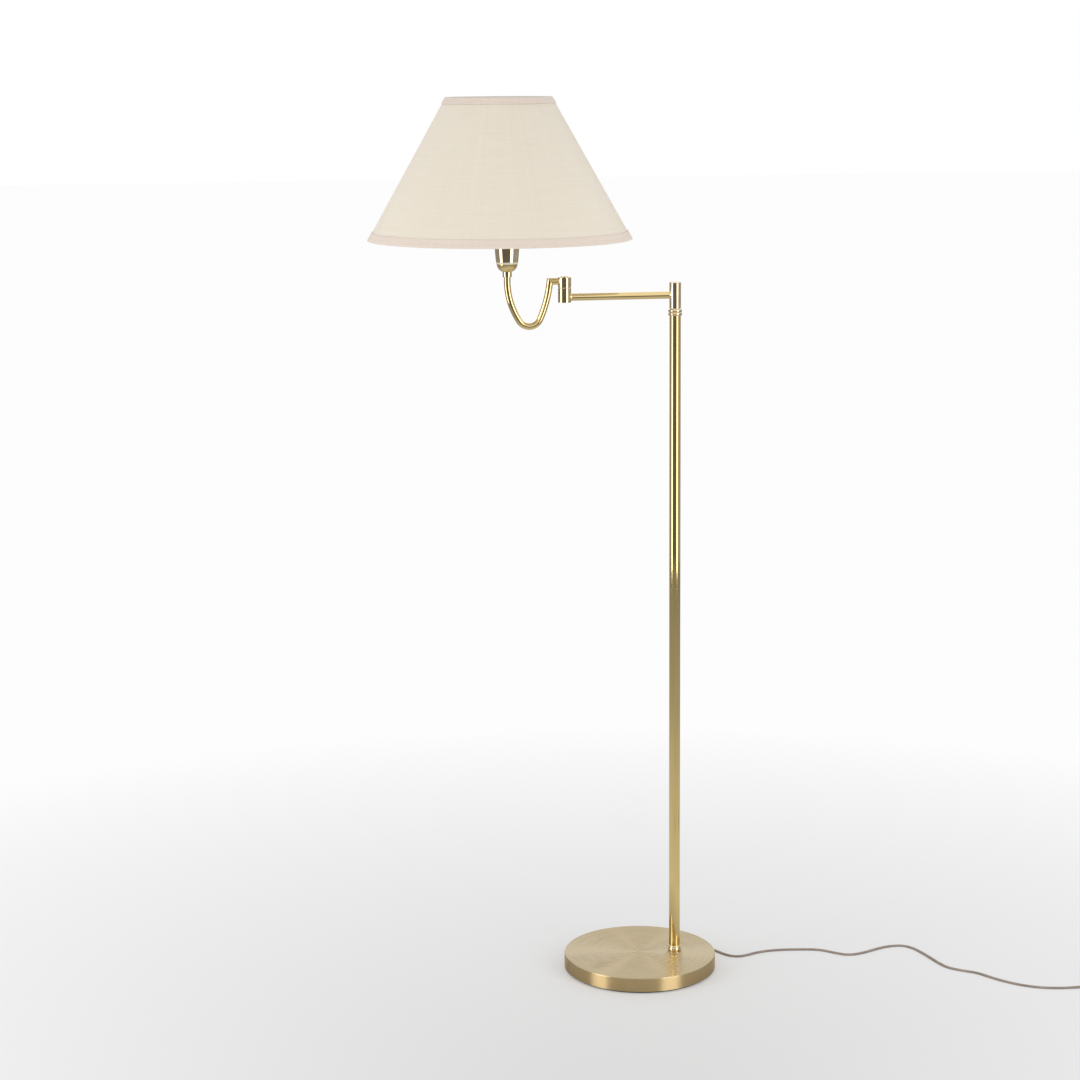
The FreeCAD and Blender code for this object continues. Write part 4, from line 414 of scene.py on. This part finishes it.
def polished_brass(name, dark, light, roughness, lengthwise=(1, 1, 0.06)):
    """Polished brass under old lacquer: slightly uneven tone, faint drawing lines and pin-point wear."""
    finish = begun(name, light, metallic=1.0, roughness=roughness)
    tone = clouds(finish, own_place(finish, stretch=lengthwise), 95.0, 3.0)
    specks = clouds(finish, own_place(finish), 520.0, 5.0, 0.7)
    put(finish, "Base Color", shades(finish, laid(finish, "ShaderNodeMath", {
        0: tone, 1: between(finish, specks, -0.45, 0.0, 0.26, 0.36)}, operation="ADD"),
        (0.05, (0.30, 0.20, 0.09)), (0.30, dark), (0.62, light)))
    put(finish, "Roughness", between(finish, specks, roughness * 2.4, roughness, 0.30, 0.46))
    lines = clouds(finish, own_place(finish, stretch=lengthwise), 700.0, 2.0)
    put(finish, "Normal", relief(finish, lines, 0.000006, 0.12))
    return finish


pole_brass = polished_brass("polished_brass_upright", (.81, .62, .27), (.87, .68, .32), 0.055)
turned_brass = polished_brass("polished_brass_turned", (.80, .65, .41), (.86, .72, .49), 0.065, (0.5, 0.5, 1))


def bead(edge_radius, foot, height, swell=0.0006):
    """The stations of one turned bead, its side a low arc."""
    share = [step / 6 for step in range(7)]
    return [(edge_radius + swell * (1 - (2 * part - 1) ** 2), foot + height * part) for part in share]


collar = [(0.0104, base_top)] + bead(0.0101, base_top + 0.0002, 0.0046, 0.0009)
collar += [(0.0097, 0.0304), (0.0097, 0.0306)] + bead(0.0097, 0.0307, 0.0026, 0.0008) + [(0.0093, 0.0336)]
made(turned("pole_collar", collar), turned_brass, "base_and_pole", ["pole_foot_collar"],
     place=(pole_x, 0, 0), smooth=50)
made(turned("pole_upright", [(pole_radius, base_top + 0.0002), (pole_radius, 0.3), (pole_radius, 0.7),
                             (pole_radius, pole_top)]),
     pole_brass, "base_and_pole", ["pole_tube"], place=(pole_x, 0, 0))
head = [(0.0092, pole_top)] + bead(0.0102, pole_top + 0.0001, 0.0050, 0.0008) + [(0.0098, pole_top + 0.0052)]
head += bead(0.0102, pole_top + 0.0055, 0.0050, 0.0008) + [(0.0092, pole_top + 0.0108)]
made(turned("pole_bead_head", head), turned_brass, "base_and_pole", ["pole_head"],
     place=(pole_x, 0, 0), smooth=50)
slip_plastic = plastic("slip_washer_plastic", (.55, .53, .47), (.70, .68, .62), 0.5)
wire_plastic = plastic("wire_sheath", (.50, .47, .42), (.62, .58, .52), 0.5)
clad(zinc_steel, "swivel_rod", "swivel_nut", "elbow_rod", "elbow_nut")
clad(slip_plastic, "swivel_washers", "elbow_washers")
clad(wire_plastic, "pole_lead", "arm_lead", "head_lead")

# ---------------------------------------------------------------------------------- pole swivel
# Turned brass barrel that turns on a threaded rod in the pole's head. A let-in disc closes it above,
# and a slip washer keeps its foot clear of the head.
barrel_radius, barrel_foot, barrel_top, well_radius = 0.0092, 1.0964, 1.1384, 0.00745
barrel = [(barrel_radius, barrel_foot), (barrel_radius, barrel_top), (well_radius, barrel_top),
          (well_radius, barrel_top - 0.0025)]
made(turned("swivel_barrel_turned", barrel), turned_brass, "inner_arm", ["swivel_barrel"],
     place=(pole_x, 0, 0), rounding=0.0006)
made(turned("swivel_disc", [(0.00725, barrel_top - 0.003), (0.00725, barrel_top - 0.0004),
                            (0.0062, barrel_top - 0.0001), (0.003, barrel_top), (0.0004, barrel_top)]),
     turned_brass, "inner_arm", ["swivel_cap"], place=(pole_x, 0, 0), rounding=0.0002)

# --------------------------------------------------------------------------------------- first arm
# Drawn brass tube, let into the barrel at one end and into the elbow at the other. Both ends are
# brazed, which leaves a small bright fillet round the tube.
arm_axis, arm_radius, elbow_x = 1.1179, 0.00575, -0.121
arm_brass = polished_brass("polished_brass_level", (.81, .62, .28), (.87, .68, .34), 0.055, (0.06, 1, 1))
arm_start, arm_end = pole_x - 0.0078, elbow_x + 0.0088
made(turned("first_arm", [(arm_radius, out) for out in (0.0, 0.05, 0.11, arm_start - arm_end)]),
     arm_brass, "inner_arm", ["inner_arm_tube"], place=(arm_start, 0, arm_axis),
     turn=(0, -math.pi / 2, 0))
fillet = [(0.0056, -0.0016), (0.0064, -0.0009), (0.0066, 0.0), (0.0064, 0.0009), (0.0056, 0.0016)]
for name, along_arm in (("barrel_braze", pole_x - 0.0084), ("elbow_braze", elbow_x + 0.0096)):
    made(turned(name, fillet, around=64), turned_brass, "inner_arm", place=(along_arm, 0, arm_axis),
         turn=(0, -math.pi / 2, 0))

# ------------------------------------------------------------------------------------------- elbow
# Two turned knuckles on one rod with a slip washer between them, plugged below. A low button closes
# the upper one.
lower_foot, lower_top = 1.1099, 1.1330
upper_foot, upper_top = 1.1338, 1.1500
knuckle = 0.0105
made(turned("lower_knuckle", [(knuckle, lower_foot), (knuckle, lower_top)]), turned_brass, "inner_arm",
     ["elbow_lower_knuckle", "elbow_bottom_plug"], place=(elbow_x, 0, 0), rounding=0.0003)
made(turned("upper_knuckle", [(knuckle, upper_foot), (knuckle, upper_top)]), turned_brass,
     "outer_arm_and_shade", ["elbow_upper_knuckle"], place=(elbow_x, 0, 0), rounding=0.0003)
button_radius = 0.00625
button = [(0.0060, upper_top), (button_radius, upper_top + 0.0002), (button_radius, upper_top + 0.0009),
          (0.0058, upper_top + 0.00135), (0.0040, upper_top + 0.0016), (0.0006, upper_top + 0.0017)]
made(turned("knuckle_button", button), turned_brass, "outer_arm_and_shade", ["elbow_button"],
     place=(elbow_x, 0, 0))

# ------------------------------------------------------------------------------ stub and gooseneck
# A short level tube from the knuckle meets the gooseneck in a sharp mitre. The gooseneck goes down in
# a long bend, round a tight one, and up in another long bend into the lamp holder.
neck_radius, stub_axis, corner_x = 0.00525, 1.1436, -0.1446
lean = math.radians(6.5)
corner = Vector((corner_x, 0, stub_axis))
leg_way = Vector((-math.sin(lean), 0, -math.cos(lean)))
mitre = (leg_way + Vector((-1, 0, 0))).normalized()


def sawn(piece, keep_side):
    """Saws a tube off at the mitre and closes it there."""
    bpy.ops.object.mode_set(mode="EDIT")
    bpy.ops.mesh.select_all(action="SELECT")
    bpy.ops.mesh.bisect(plane_co=corner, plane_no=mitre * keep_side, use_fill=True, clear_inner=True)
    bpy.ops.object.mode_set(mode="OBJECT")
    return piece


bpy.ops.object.select_all(action="DESELECT")
bpy.ops.mesh.primitive_cylinder_add(vertices=64, radius=neck_radius, depth=0.030, rotation=(0, math.pi / 2, 0),
                                    location=(elbow_x - 0.0085 - 0.015, 0, stub_axis))
stub = bpy.context.object
stub.name = stub.data.name = "mitred_stub"
bpy.ops.object.transform_apply(location=True, rotation=True, scale=True)
made(sawn(stub, -1), arm_brass, "outer_arm_and_shade", ["stub_tube"])

socket_x, upright_foot, neck_end = -0.213065, 1.14594, 1.16384
bends = ((0.119, 33.0, 20), (0.0188, 123.0, 40), (0.204, 17.5, 12))
bpy.ops.object.select_all(action="DESELECT")
bpy.ops.mesh.primitive_circle_add(vertices=64, radius=neck_radius, location=(socket_x, 0, neck_end),
                                  fill_type="NGON")
gooseneck = bpy.context.object
gooseneck.name = gooseneck.data.name = "gooseneck"
bpy.ops.object.transform_apply(location=True)
bpy.ops.object.mode_set(mode="EDIT")
bpy.ops.mesh.select_all(action="SELECT")
bpy.ops.mesh.extrude_region_move(TRANSFORM_OT_translate={"value": (0, 0, upright_foot - neck_end)})
here, tilt = Vector((socket_x, 0, upright_foot)), 0.0
for bend_radius, bend_turn, steps in bends:
    side = Vector((math.cos(tilt), 0, math.sin(tilt)))
    centre = here + side * bend_radius
    bpy.ops.mesh.spin(steps=steps, angle=math.radians(bend_turn), center=centre, axis=(0, 1, 0))
    tilt += math.radians(bend_turn)
    here = centre - Vector((math.cos(tilt), 0, math.sin(tilt))) * bend_radius
bpy.ops.mesh.extrude_region_move(TRANSFORM_OT_translate={"value": -leg_way * 0.012})
bpy.ops.object.mode_set(mode="OBJECT")
neck_brass = polished_brass("polished_brass_bent", (.81, .62, .28), (.87, .68, .34), 0.06, (1, 1, 0.4))
made(sawn(gooseneck, 1), neck_brass, "outer_arm_and_shade", ["gooseneck_tube"])

# -------------------------------------------------------------------------------------- lamp holder
# Bright lock nut, domed brass cap, a pale ring in the seam, and a brass shell with a fine thread for
# the ring nut that holds the shade's carrier.
nut_foot, cap_foot, seam_foot, shell_foot, shell_step = 1.15194, 1.16084, 1.17294, 1.17594, 1.20294
outer = "outer_arm_and_shade"
nut_radius = 0.0073
made(turned("lock_nut", [(nut_radius, nut_foot), (nut_radius, cap_foot)]), turned_brass, outer,
     ["socket_lock_nut"], place=(socket_x, 0, 0), rounding=0.0007)
dome_out, dome_up, dome_round = 0.00128, 0.01366, 0.0155
dome = [(dome_out + dome_round * math.cos(math.radians(turn)),
         cap_foot + dome_up + dome_round * math.sin(math.radians(turn)))
        for turn in (-61.8, -54.8, -47.8, -40.8, -33.8, -26.8, -19.8, -12.8, -5.8)]
made(turned("holder_cap", dome + [(0.0156, seam_foot), (0.0150, seam_foot - 0.001)]), neck_brass, outer,
     ["socket_cap"], place=(socket_x, 0, 0), smooth=40)
pale_ring = plastic("pale_seam_plastic", (.76, .69, .52), (.86, .80, .64), 0.28, 1500.0, coat=0.4)
made(turned("seam_band", [(0.0172, seam_foot), (0.0174, seam_foot + 0.0004), (0.0174, seam_foot + 0.0026),
                          (0.0172, shell_foot)]),
     pale_ring, outer, ["socket_seam_ring"], place=(socket_x, 0, 0))
shell_line = [(0.0174, shell_foot), (0.0178, shell_foot + 0.0028), (0.0183, shell_foot + 0.008),
              (0.0188, shell_foot + 0.0135), (0.01935, shell_foot + 0.021), (0.01935, shell_step - 0.0003),
              (0.0190, shell_step)]
for crest in range(9):
    foot = shell_step + 0.0003 + crest * 0.0016
    shell_line += [(0.0174, foot), (0.0180, foot + 0.0008)]
shell_line += [(0.0172, shell_step + 0.0150), (0.0167, shell_step + 0.0150), (0.0167, shell_foot + 0.003)]
made(turned("holder_shell", shell_line, capped=False), turned_brass, outer, ["socket_shell"],
     place=(socket_x, 0, 0), smooth=40)
glazed = plastic("unglazed_ceramic", (.72, .69, .62), (.82, .80, .74), 0.6)
clad(glazed, "socket_insulator")
clad(contact_brass, "socket_screw_shell", "socket_centre_contact")

# -------------------------------------------------------------------------------------------- bulb
# Frosted globe bulb with a rolled screw base, screwed into the holder's sleeve from above. An opal
# coating inside the glass scatters the light.
bulb_foot, glass_foot = 1.18894, 1.20794
thread = [(0.0050, bulb_foot), (0.0080, bulb_foot + 0.0008), (0.0122, bulb_foot + 0.0030)]
for step in range(25):
    thread.append((0.0126 + 0.0007 * math.sin(step * math.pi / 3), bulb_foot + 0.0034 + step * 0.00075))
thread += [(0.0133, bulb_foot + 0.0235), (0.0133, bulb_foot + 0.0250), (0.0126, bulb_foot + 0.0250)]
tin = metal("rolled_tin", (.48, .48, .47), (.66, .66, .65), 0.3)
made(turned("bulb_screw", thread, around=72), tin, outer, ["bulb_screw_base"],
     place=(socket_x, 0, 0), smooth=40)
neck = [(0.0122, glass_foot), (0.0124, glass_foot + 0.007), (0.0131, glass_foot + 0.014),
        (0.0148, glass_foot + 0.0225), (0.0178, glass_foot + 0.0310)]
globe, globe_rise = 0.030, 0.0585
for turn in range(-42, 90, 6):
    neck.append((globe * math.cos(math.radians(turn)),
                 glass_foot + globe_rise + globe * math.sin(math.radians(turn))))
neck.append((0.0003, glass_foot + 0.0885))
frosted = begun("frosted_glass", (.93, .92, .89), roughness=0.32, Subsurface_Weight=0.35, Subsurface_Scale=0.01,
                Coat_Weight=0.5, Coat_Roughness=0.12)
where = own_place(frosted)
put(frosted, "Base Color", shades(frosted, clouds(frosted, where, 30.0), (0.3, (.86, .85, .81)),
                                  (0.7, (.94, .93, .90))))
put(frosted, "Roughness", between(frosted, clouds(frosted, where, 300.0), 0.24, 0.42))
put(frosted, "Normal", relief(frosted, clouds(frosted, where, 1200.0), 0.00002, 0.5))
made(turned("bulb_globe", neck, around=72), frosted, outer, ["bulb_glass"],
     place=(socket_x, 0, 0), smooth=40)

# ---------------------------------------------------------------------------------- shade carrier
# A flat steel ring on the shell's step, clamped by a brass ring nut with a gripped edge. It carries a
# harp of bent wire, with a threaded stud and a small round nut at its crown.
made(turned("carrier_ring", [(0.0182, shell_step), (0.0290, shell_step), (0.0290, shell_step + 0.0015),
                             (0.0182, shell_step + 0.0015), (0.0182, shell_step)], capped=False),
     zinc_steel, outer, ["harp_saddle"], place=(socket_x, 0, 0), rounding=0.0004)
ring_foot = shell_step + 0.0015
ring_bore, ring_edge, ring_grip = 0.0182, 0.0222, 0.0226
grip = turned("ring_nut", [(ring_bore, ring_foot), (ring_edge, ring_foot), (ring_edge, ring_foot + 0.001),
                           (ring_grip, ring_foot + 0.0014), (ring_grip, ring_foot + 0.0058),
                           (ring_edge, ring_foot + 0.0062), (ring_edge, ring_foot + 0.007),
                           (ring_bore, ring_foot + 0.007), (ring_bore, ring_foot)],
              capped=False, around=72)
bpy.ops.object.mode_set(mode="EDIT")
bpy.ops.mesh.select_mode(type="FACE")
ridges = bmesh.from_edit_mesh(grip.data)
for face in ridges.faces:
    middle = face.calc_center_median()
    turn = math.degrees(math.atan2(middle.y, middle.x)) % 15
    face.select = middle.xy.length > 0.0223 and 2 < turn < 11 and abs(face.normal.z) < 0.3
bmesh.update_edit_mesh(grip.data)
bpy.ops.mesh.inset(thickness=0.0002, depth=-0.0006, use_even_offset=False)
bpy.ops.mesh.select_mode(type="VERT")
bpy.ops.object.mode_set(mode="OBJECT")
made(grip, turned_brass, outer, ["shade_ring_nut"], place=(socket_x, 0, 0), rounding=0.0002)

shade_x, crown, wire = -0.224065, 1.39834, 0.0015
foot_z = ring_foot
harp_rise, harp_lean = crown - foot_z, 0.011
half = [(.026, 0), (.026, .004), (.026, .012), (.0275, .0165), (.0385, .0315), (.040, .036), (.040, .042),
        (.040, .090), (.040, harp_rise - .070), (.040, harp_rise - .058), (.0392, harp_rise - .053),
        (.017, harp_rise - .005), (.0145, harp_rise), (.009, harp_rise)]
harp = bpy.data.curves.new("harp", "CURVE")
harp.dimensions, harp.bevel_depth, harp.bevel_resolution, harp.resolution_u = "3D", wire, 6, 10
harp.use_fill_caps = True
bend = harp.splines.new("NURBS")
stations = half + [(-side, rise) for side, rise in reversed(half)]
bend.points.add(len(stations) - 1)
for point, (side, rise) in zip(bend.points, stations):
    point.co = (socket_x - harp_lean * rise / harp_rise, side, foot_z + rise, 1)
bend.order_u = 3
bend.use_endpoint_u = True
harp_wire = bpy.data.objects.new("harp_wire", harp)
bpy.context.scene.collection.objects.link(harp_wire)
bpy.ops.object.select_all(action="DESELECT")
harp_wire.select_set(True)
bpy.context.view_layer.objects.active = harp_wire
bpy.ops.object.convert(target="MESH")
made(harp_wire, zinc_steel, outer, ["shade_harp"], smooth=60)

hub_foot = 1.40484
stud = [(0.0046, hub_foot - 0.0080), (0.0050, hub_foot - 0.0075), (0.0050, hub_foot - 0.0003),
        (0.0046, hub_foot), (0.0030, hub_foot)]
for crest in range(10):
    stud += [(0.0030, hub_foot + 0.0016 + crest * 0.001), (0.0026, hub_foot + 0.0021 + crest * 0.001)]
stud.append((0.0020, hub_foot + 0.0120))
made(turned("crown_stud", stud, around=40), zinc_steel, outer, ["harp_stud"], place=(shade_x, 0, 0))
cap_nut = [(0.0056, hub_foot + 0.0020), (0.0060, hub_foot + 0.0026), (0.0060, hub_foot + 0.0090),
           (0.0055, hub_foot + 0.0104), (0.0040, hub_foot + 0.0110), (0.0032, hub_foot + 0.0110)]
made(turned("crown_nut", cap_nut, around=48), turned_brass, outer, ["shade_finial"],
     place=(shade_x, 0, 0), rounding=0.0003)

# ------------------------------------------------------------------------------------ shade frame
# Wire rings at both rims, three spokes and a pressed hub, welded and enamelled cream. The hub sits on
# the harp's stud under the small nut.
enamel = plastic("cream_enamel", (.66, .62, .53), (.76, .73, .65), 0.3, 1200.0, coat=0.4)
foot_ring, top_ring = (0.2038, 1.21434), (0.0816, 1.43234)


def hoop(name, radius, height):
    """A ring of round wire."""
    bpy.ops.object.select_all(action="DESELECT")
    bpy.ops.mesh.primitive_torus_add(major_radius=radius, minor_radius=wire, major_segments=160,
                                     minor_segments=14, location=(0, 0, height))
    bpy.context.object.name = bpy.context.object.data.name = name
    return bpy.context.object


made(hoop("foot_hoop", *foot_ring), enamel, outer, ["shade_bottom_ring"], place=(shade_x, 0, 0),
     smooth=60)
parts = [hoop("top_frame", *top_ring)]
hub = turned("hub", [(0.0032, hub_foot), (0.0032, hub_foot + 0.002), (0.0060, hub_foot + 0.002),
                     (0.0110, hub_foot + 0.0019), (0.0120, hub_foot + 0.0016), (0.0120, hub_foot),
                     (0.0032, hub_foot)], capped=False, around=64)
tidied(hub)
parts.append(hub)
start, rise = 0.0108, top_ring[1] - hub_foot - 0.001
for compass in (30, 150, 270):
    bpy.ops.object.select_all(action="DESELECT")
    reach = math.hypot(top_ring[0] - start, rise)
    slope = math.atan2(top_ring[0] - start, rise)
    way = Vector((math.sin(slope), 0, math.cos(slope)))
    bpy.ops.mesh.primitive_cylinder_add(vertices=20, radius=0.00125, depth=reach, rotation=(0, slope, 0),
                                        location=Vector((start, 0, hub_foot + 0.001)) + way * reach / 2)
    spoke = bpy.context.object
    bpy.ops.object.transform_apply(location=True, rotation=True, scale=True)
    bpy.ops.object.mode_set(mode="EDIT")
    bpy.ops.mesh.select_all(action="SELECT")
    bpy.ops.mesh.bevel(offset=0.0003, segments=2, affect="EDGES")
    bpy.ops.object.mode_set(mode="OBJECT")
    spoke.rotation_euler = (0, 0, math.radians(compass))
    parts.append(spoke)
bpy.ops.object.select_all(action="DESELECT")
for part in parts:
    part.select_set(True)
bpy.context.view_layer.objects.active = parts[0]
bpy.ops.object.join()
made(parts[0], enamel, outer, ["shade_top_frame"], place=(shade_x, 0, 0), smooth=60)

# -------------------------------------------------------------------------------------------- shade
# Fine cream cloth bonded to a stiff white backing, cut as part of a flat ring, rolled to a cone and
# glued in one lapped seam at the back. Folded bands of the same cloth are glued over both rims.
shade_foot, shade_top = 1.21184, 1.43484
cloth_foot, cloth_top, cloth_wall = 0.2081, 0.0831, 0.0009


def woven(name, dark, light, backing, threads, picks, relief_depth):
    """Plain woven cloth on the cone: threads up its side and round it, slubs and a soft sheen."""
    finish = begun(name, light, roughness=0.85, Sheen_Weight=0.25, Sheen_Roughness=0.4)
    where = own_place(finish, move=(-shade_x, 0, -shade_foot))
    parts = finish.node_tree.nodes.new("ShaderNodeSeparateXYZ")
    finish.node_tree.links.new(where, parts.inputs[0])
    x, y, z = parts.outputs
    compass = laid(finish, "ShaderNodeMath", {0: y, 1: x}, operation="ARCTAN2")

    def wave(value, count):
        turns = laid(finish, "ShaderNodeMath", {0: value, 1: count}, operation="MULTIPLY")
        return laid(finish, "ShaderNodeMath", {0: turns}, operation="SINE")

    warp, weft = wave(compass, threads), wave(z, picks)
    cross = laid(finish, "ShaderNodeMath", {0: warp, 1: weft}, operation="MULTIPLY")
    rows = laid(finish, "ShaderNodeCombineXYZ", {
        "X": laid(finish, "ShaderNodeMath", {0: compass, 1: 2.0}, operation="MULTIPLY"),
        "Y": laid(finish, "ShaderNodeMath", {0: z, 1: 330.0}, operation="MULTIPLY")})
    columns = laid(finish, "ShaderNodeCombineXYZ", {
        "X": laid(finish, "ShaderNodeMath", {0: compass, 1: 46.0}, operation="MULTIPLY"),
        "Y": laid(finish, "ShaderNodeMath", {0: z, 1: 3.0}, operation="MULTIPLY")})
    slubs = laid(finish, "ShaderNodeMath", {0: clouds(finish, rows, 1.0, 3.0),
                                            1: clouds(finish, columns, 1.0, 3.0)}, operation="ADD")
    tone = laid(finish, "ShaderNodeMath", {0: slubs, 1: between(finish, cross, -0.05, 0.05, -1, 1)},
                operation="ADD")
    put(finish, "Base Color", shades(finish, between(finish, tone, 0, 1, 0.65, 1.35),
                                     (0.0, dark), (1.0, light)))
    put(finish, "Roughness", between(finish, slubs, 0.75, 0.95, 0.7, 1.3))
    weave = relief(finish, cross, relief_depth, 0.6)
    put(finish, "Normal", relief(finish, slubs, 0.00014, 0.3, weave))
    if backing:
        put(finish, "Subsurface Weight", between(finish, slubs, 0.02, 0.05, 0.7, 1.3))
    return finish


cloth = woven("cream_linen", (.845, .760, .630), (.890, .808, .680), True, 1150.0, 5600.0, 0.00012)
lining = plastic("white_backing", (.82, .80, .74), (.87, .85, .80), 0.55)
share = [step / 14 for step in range(15)]
cone = turned("shade_cloth_cone", [(cloth_foot + (cloth_top - cloth_foot) * part,
                                    shade_foot + (shade_top - shade_foot) * part) for part in share],
              capped=False, around=192)
made(cone, cloth, outer, ["shade_cover"], wall=cloth_wall, place=(shade_x, 0, 0), smooth=60)
cone.data.materials.append(lining)
for face in cone.data.polygons:
    outward = Vector((face.center.x - shade_x, face.center.y, 0))
    face.material_index = 1 if face.normal.dot(outward) < 0 else 0

# Bands over both rims, each a strip folded in half over its edge, with a fine ridge where it is folded in.
band_cloth = woven("folded_band_cloth", (.800, .690, .590), (.860, .755, .660), False, 1150.0, 5600.0, 0.00014)
taper = (cloth_foot - cloth_top) / (shade_top - shade_foot)


def folded_band(name, rim, height, foot, node):
    """A band that swells a little, with a groove along the turned-in edge."""
    profile = [(-0.0010, 0.0), (-0.0002, 0.0002), (0.0, 0.0009), (-0.00005, 0.0035), (-0.0001, height * 0.42),
               (-0.00035, height * 0.45), (-0.0001, height * 0.48), (0.0, height * 0.6),
               (-0.0001, height - 0.0012), (-0.0003, height - 0.0003), (-0.0010, height)]
    stations = [(rim(part) + out, foot + part) for out, part in profile]
    band = turned(name, stations, capped=False, around=192)
    return made(band, band_cloth, outer, [node], place=(shade_x, 0, 0), smooth=60)


foot_rim, foot_band_height, top_rim, top_band_height = 0.2095, 0.0133, 0.0845, 0.0105
folded_band("foot_band", lambda rise: foot_rim - taper * rise, foot_band_height, shade_foot, "shade_bottom_trim")
folded_band("top_band", lambda rise: top_rim + taper * (top_band_height - rise), top_band_height,
            shade_top - top_band_height, "shade_top_trim")

# ------------------------------------------------------------------------------- floor and light
# Pale paper floor that runs off into white, a white surround, two soft boxes, and darker cards that
# only the polished metal sees, so that the brass keeps its contrast. In the metal the floor is a
# painted reflection: a glow that is darkest right round the base, as painted shadow, and falls off
# with its distance from the lamp.
bpy.ops.object.select_all(action="DESELECT")
bpy.ops.mesh.primitive_plane_add(size=60, location=(0, 0, 0))
floor = bpy.context.object
floor.name = "paper_floor"
paper = begun("pale_paper", (.76, .76, .76), roughness=0.9)
floor.data.materials.append(paper)
spot = own_place(paper, move=(0.133, 0.585, 0))
far = paper.node_tree.nodes.new("ShaderNodeVectorMath")
far.operation = "LENGTH"
paper.node_tree.links.new(spot, far.inputs[0])
away = between(paper, far.outputs["Value"], 0.0, 0.95, 0.05, 2.1)
paths = paper.node_tree.nodes.new("ShaderNodeLightPath").outputs
seen = laid(paper, "ShaderNodeMath", {0: paths["Is Camera Ray"], 1: paths["Is Transmission Ray"]},
            operation="ADD")
white = laid(paper, "ShaderNodeEmission", {"Color": (1, 1, 1, 1), "Strength": 1.0})
mixed = laid(paper, "ShaderNodeMixShader", {
    0: laid(paper, "ShaderNodeMath", {0: seen, 1: away}, operation="MULTIPLY"),
    1: paper.node_tree.nodes["Principled BSDF"].outputs[0], 2: white})
from_lamp = paper.node_tree.nodes.new("ShaderNodeVectorMath")
from_lamp.operation = "LENGTH"
paper.node_tree.links.new(own_place(paper), from_lamp.inputs[0])
farthest = 3.5
# Painted shadow and reflection: the floor's glow in the metal is darkest next to the base and dims far off.
painted_shade_tones = ((0.13, .30), (0.20, .50), (0.40, .68), (1.0, .58), (1.75, .41), (2.85, .29), (farthest, .25))
painted_floor_reflection = shades(paper, between(paper, from_lamp.outputs["Value"], 0.0, 1.0, 0.0, farthest),
                  *((metres / farthest, (tone, tone, tone)) for metres, tone in painted_shade_tones))
mixed = laid(paper, "ShaderNodeMixShader", {
    0: paths["Is Glossy Ray"], 1: mixed, 2: laid(paper, "ShaderNodeEmission", {"Color": painted_floor_reflection})})
paper.node_tree.links.new(mixed, paper.node_tree.nodes["Material Output"].inputs["Surface"])

surround = bpy.data.worlds.new("white_studio")
bpy.context.scene.world = surround
surround.use_nodes = True
sky = surround.node_tree.nodes["Background"]
paths = surround.node_tree.nodes.new("ShaderNodeLightPath").outputs
seen = laid(surround, "ShaderNodeMath", {0: paths["Is Camera Ray"], 1: paths["Is Glossy Ray"]}, operation="ADD")
seen = laid(surround, "ShaderNodeMath", {0: seen, 1: paths["Is Transmission Ray"]}, operation="ADD",
            use_clamp=True)
surround.node_tree.links.new(between(surround, seen, 0.73, 1.0), sky.inputs["Strength"])
sky.inputs["Color"].default_value = (1, 1, 1, 1)

front = -12.8


def towards(compass, distance, height):
    """A place round the pole, its compass angle counted from the camera, positive to the right."""
    turn = math.radians(front + compass)
    return Vector((pole_x + distance * math.sin(turn), -distance * math.cos(turn), height))


def soft_box(name, compass, width, height, strength):
    """A large flat lamp that faces the pole."""
    light = bpy.data.lights.new(name, "AREA")
    light.shape, light.size, light.size_y = "RECTANGLE", width, height
    light.energy = strength * width * height * math.pi
    box = bpy.data.objects.new(name, light)
    box.location = towards(compass, 2.5, 1.15)
    box.rotation_euler = (math.pi / 2, 0, math.radians(front + compass))
    bpy.context.scene.collection.objects.link(box)


box_height, box_strength = 2.0, 2.7
soft_box("soft_box_left", -61, 1.05, box_height, box_strength)
soft_box("soft_box_right", 47, 1.25, box_height, box_strength)


def card(name, first, last, distance, foot, top, shade):
    """A curved card round the lamp, seen by polished metal only."""
    bpy.ops.object.select_all(action="DESELECT")
    bpy.ops.mesh.primitive_plane_add(size=1)
    piece = bpy.context.object
    piece.name = name
    bpy.ops.object.mode_set(mode="EDIT")
    bpy.ops.mesh.select_all(action="SELECT")
    bpy.ops.mesh.subdivide(number_cuts=11)
    bpy.ops.object.mode_set(mode="OBJECT")
    for vertex in piece.data.vertices:
        compass = first + (last - first) * (vertex.co.x + 0.5)
        vertex.co = towards(compass, distance, foot + (top - foot) * (vertex.co.y + 0.5))
    paint = bpy.data.materials.new(name)
    paint.use_nodes = True
    paint.node_tree.nodes.remove(paint.node_tree.nodes["Principled BSDF"])
    glow = laid(paint, "ShaderNodeEmission", {"Color": (*shade, 1), "Strength": 1.0})
    paint.node_tree.links.new(glow, paint.node_tree.nodes["Material Output"].inputs["Surface"])
    piece.data.materials.append(paint)
    piece.visible_camera = piece.visible_diffuse = piece.visible_transmission = False
    piece.visible_shadow = piece.visible_volume_scatter = False


card_distance = 3.4
card("dark_card", -48, 32, card_distance, 0.0, 1.35, (.135, .125, .118))
card("left_card", -150, -74, card_distance, 0.0, 2.2, (.32, .31, .30))
card("right_card", 62, 150, card_distance, 0.0, 2.2, (.36, .35, .34))

bpy.context.scene.view_settings.view_transform = "Standard"
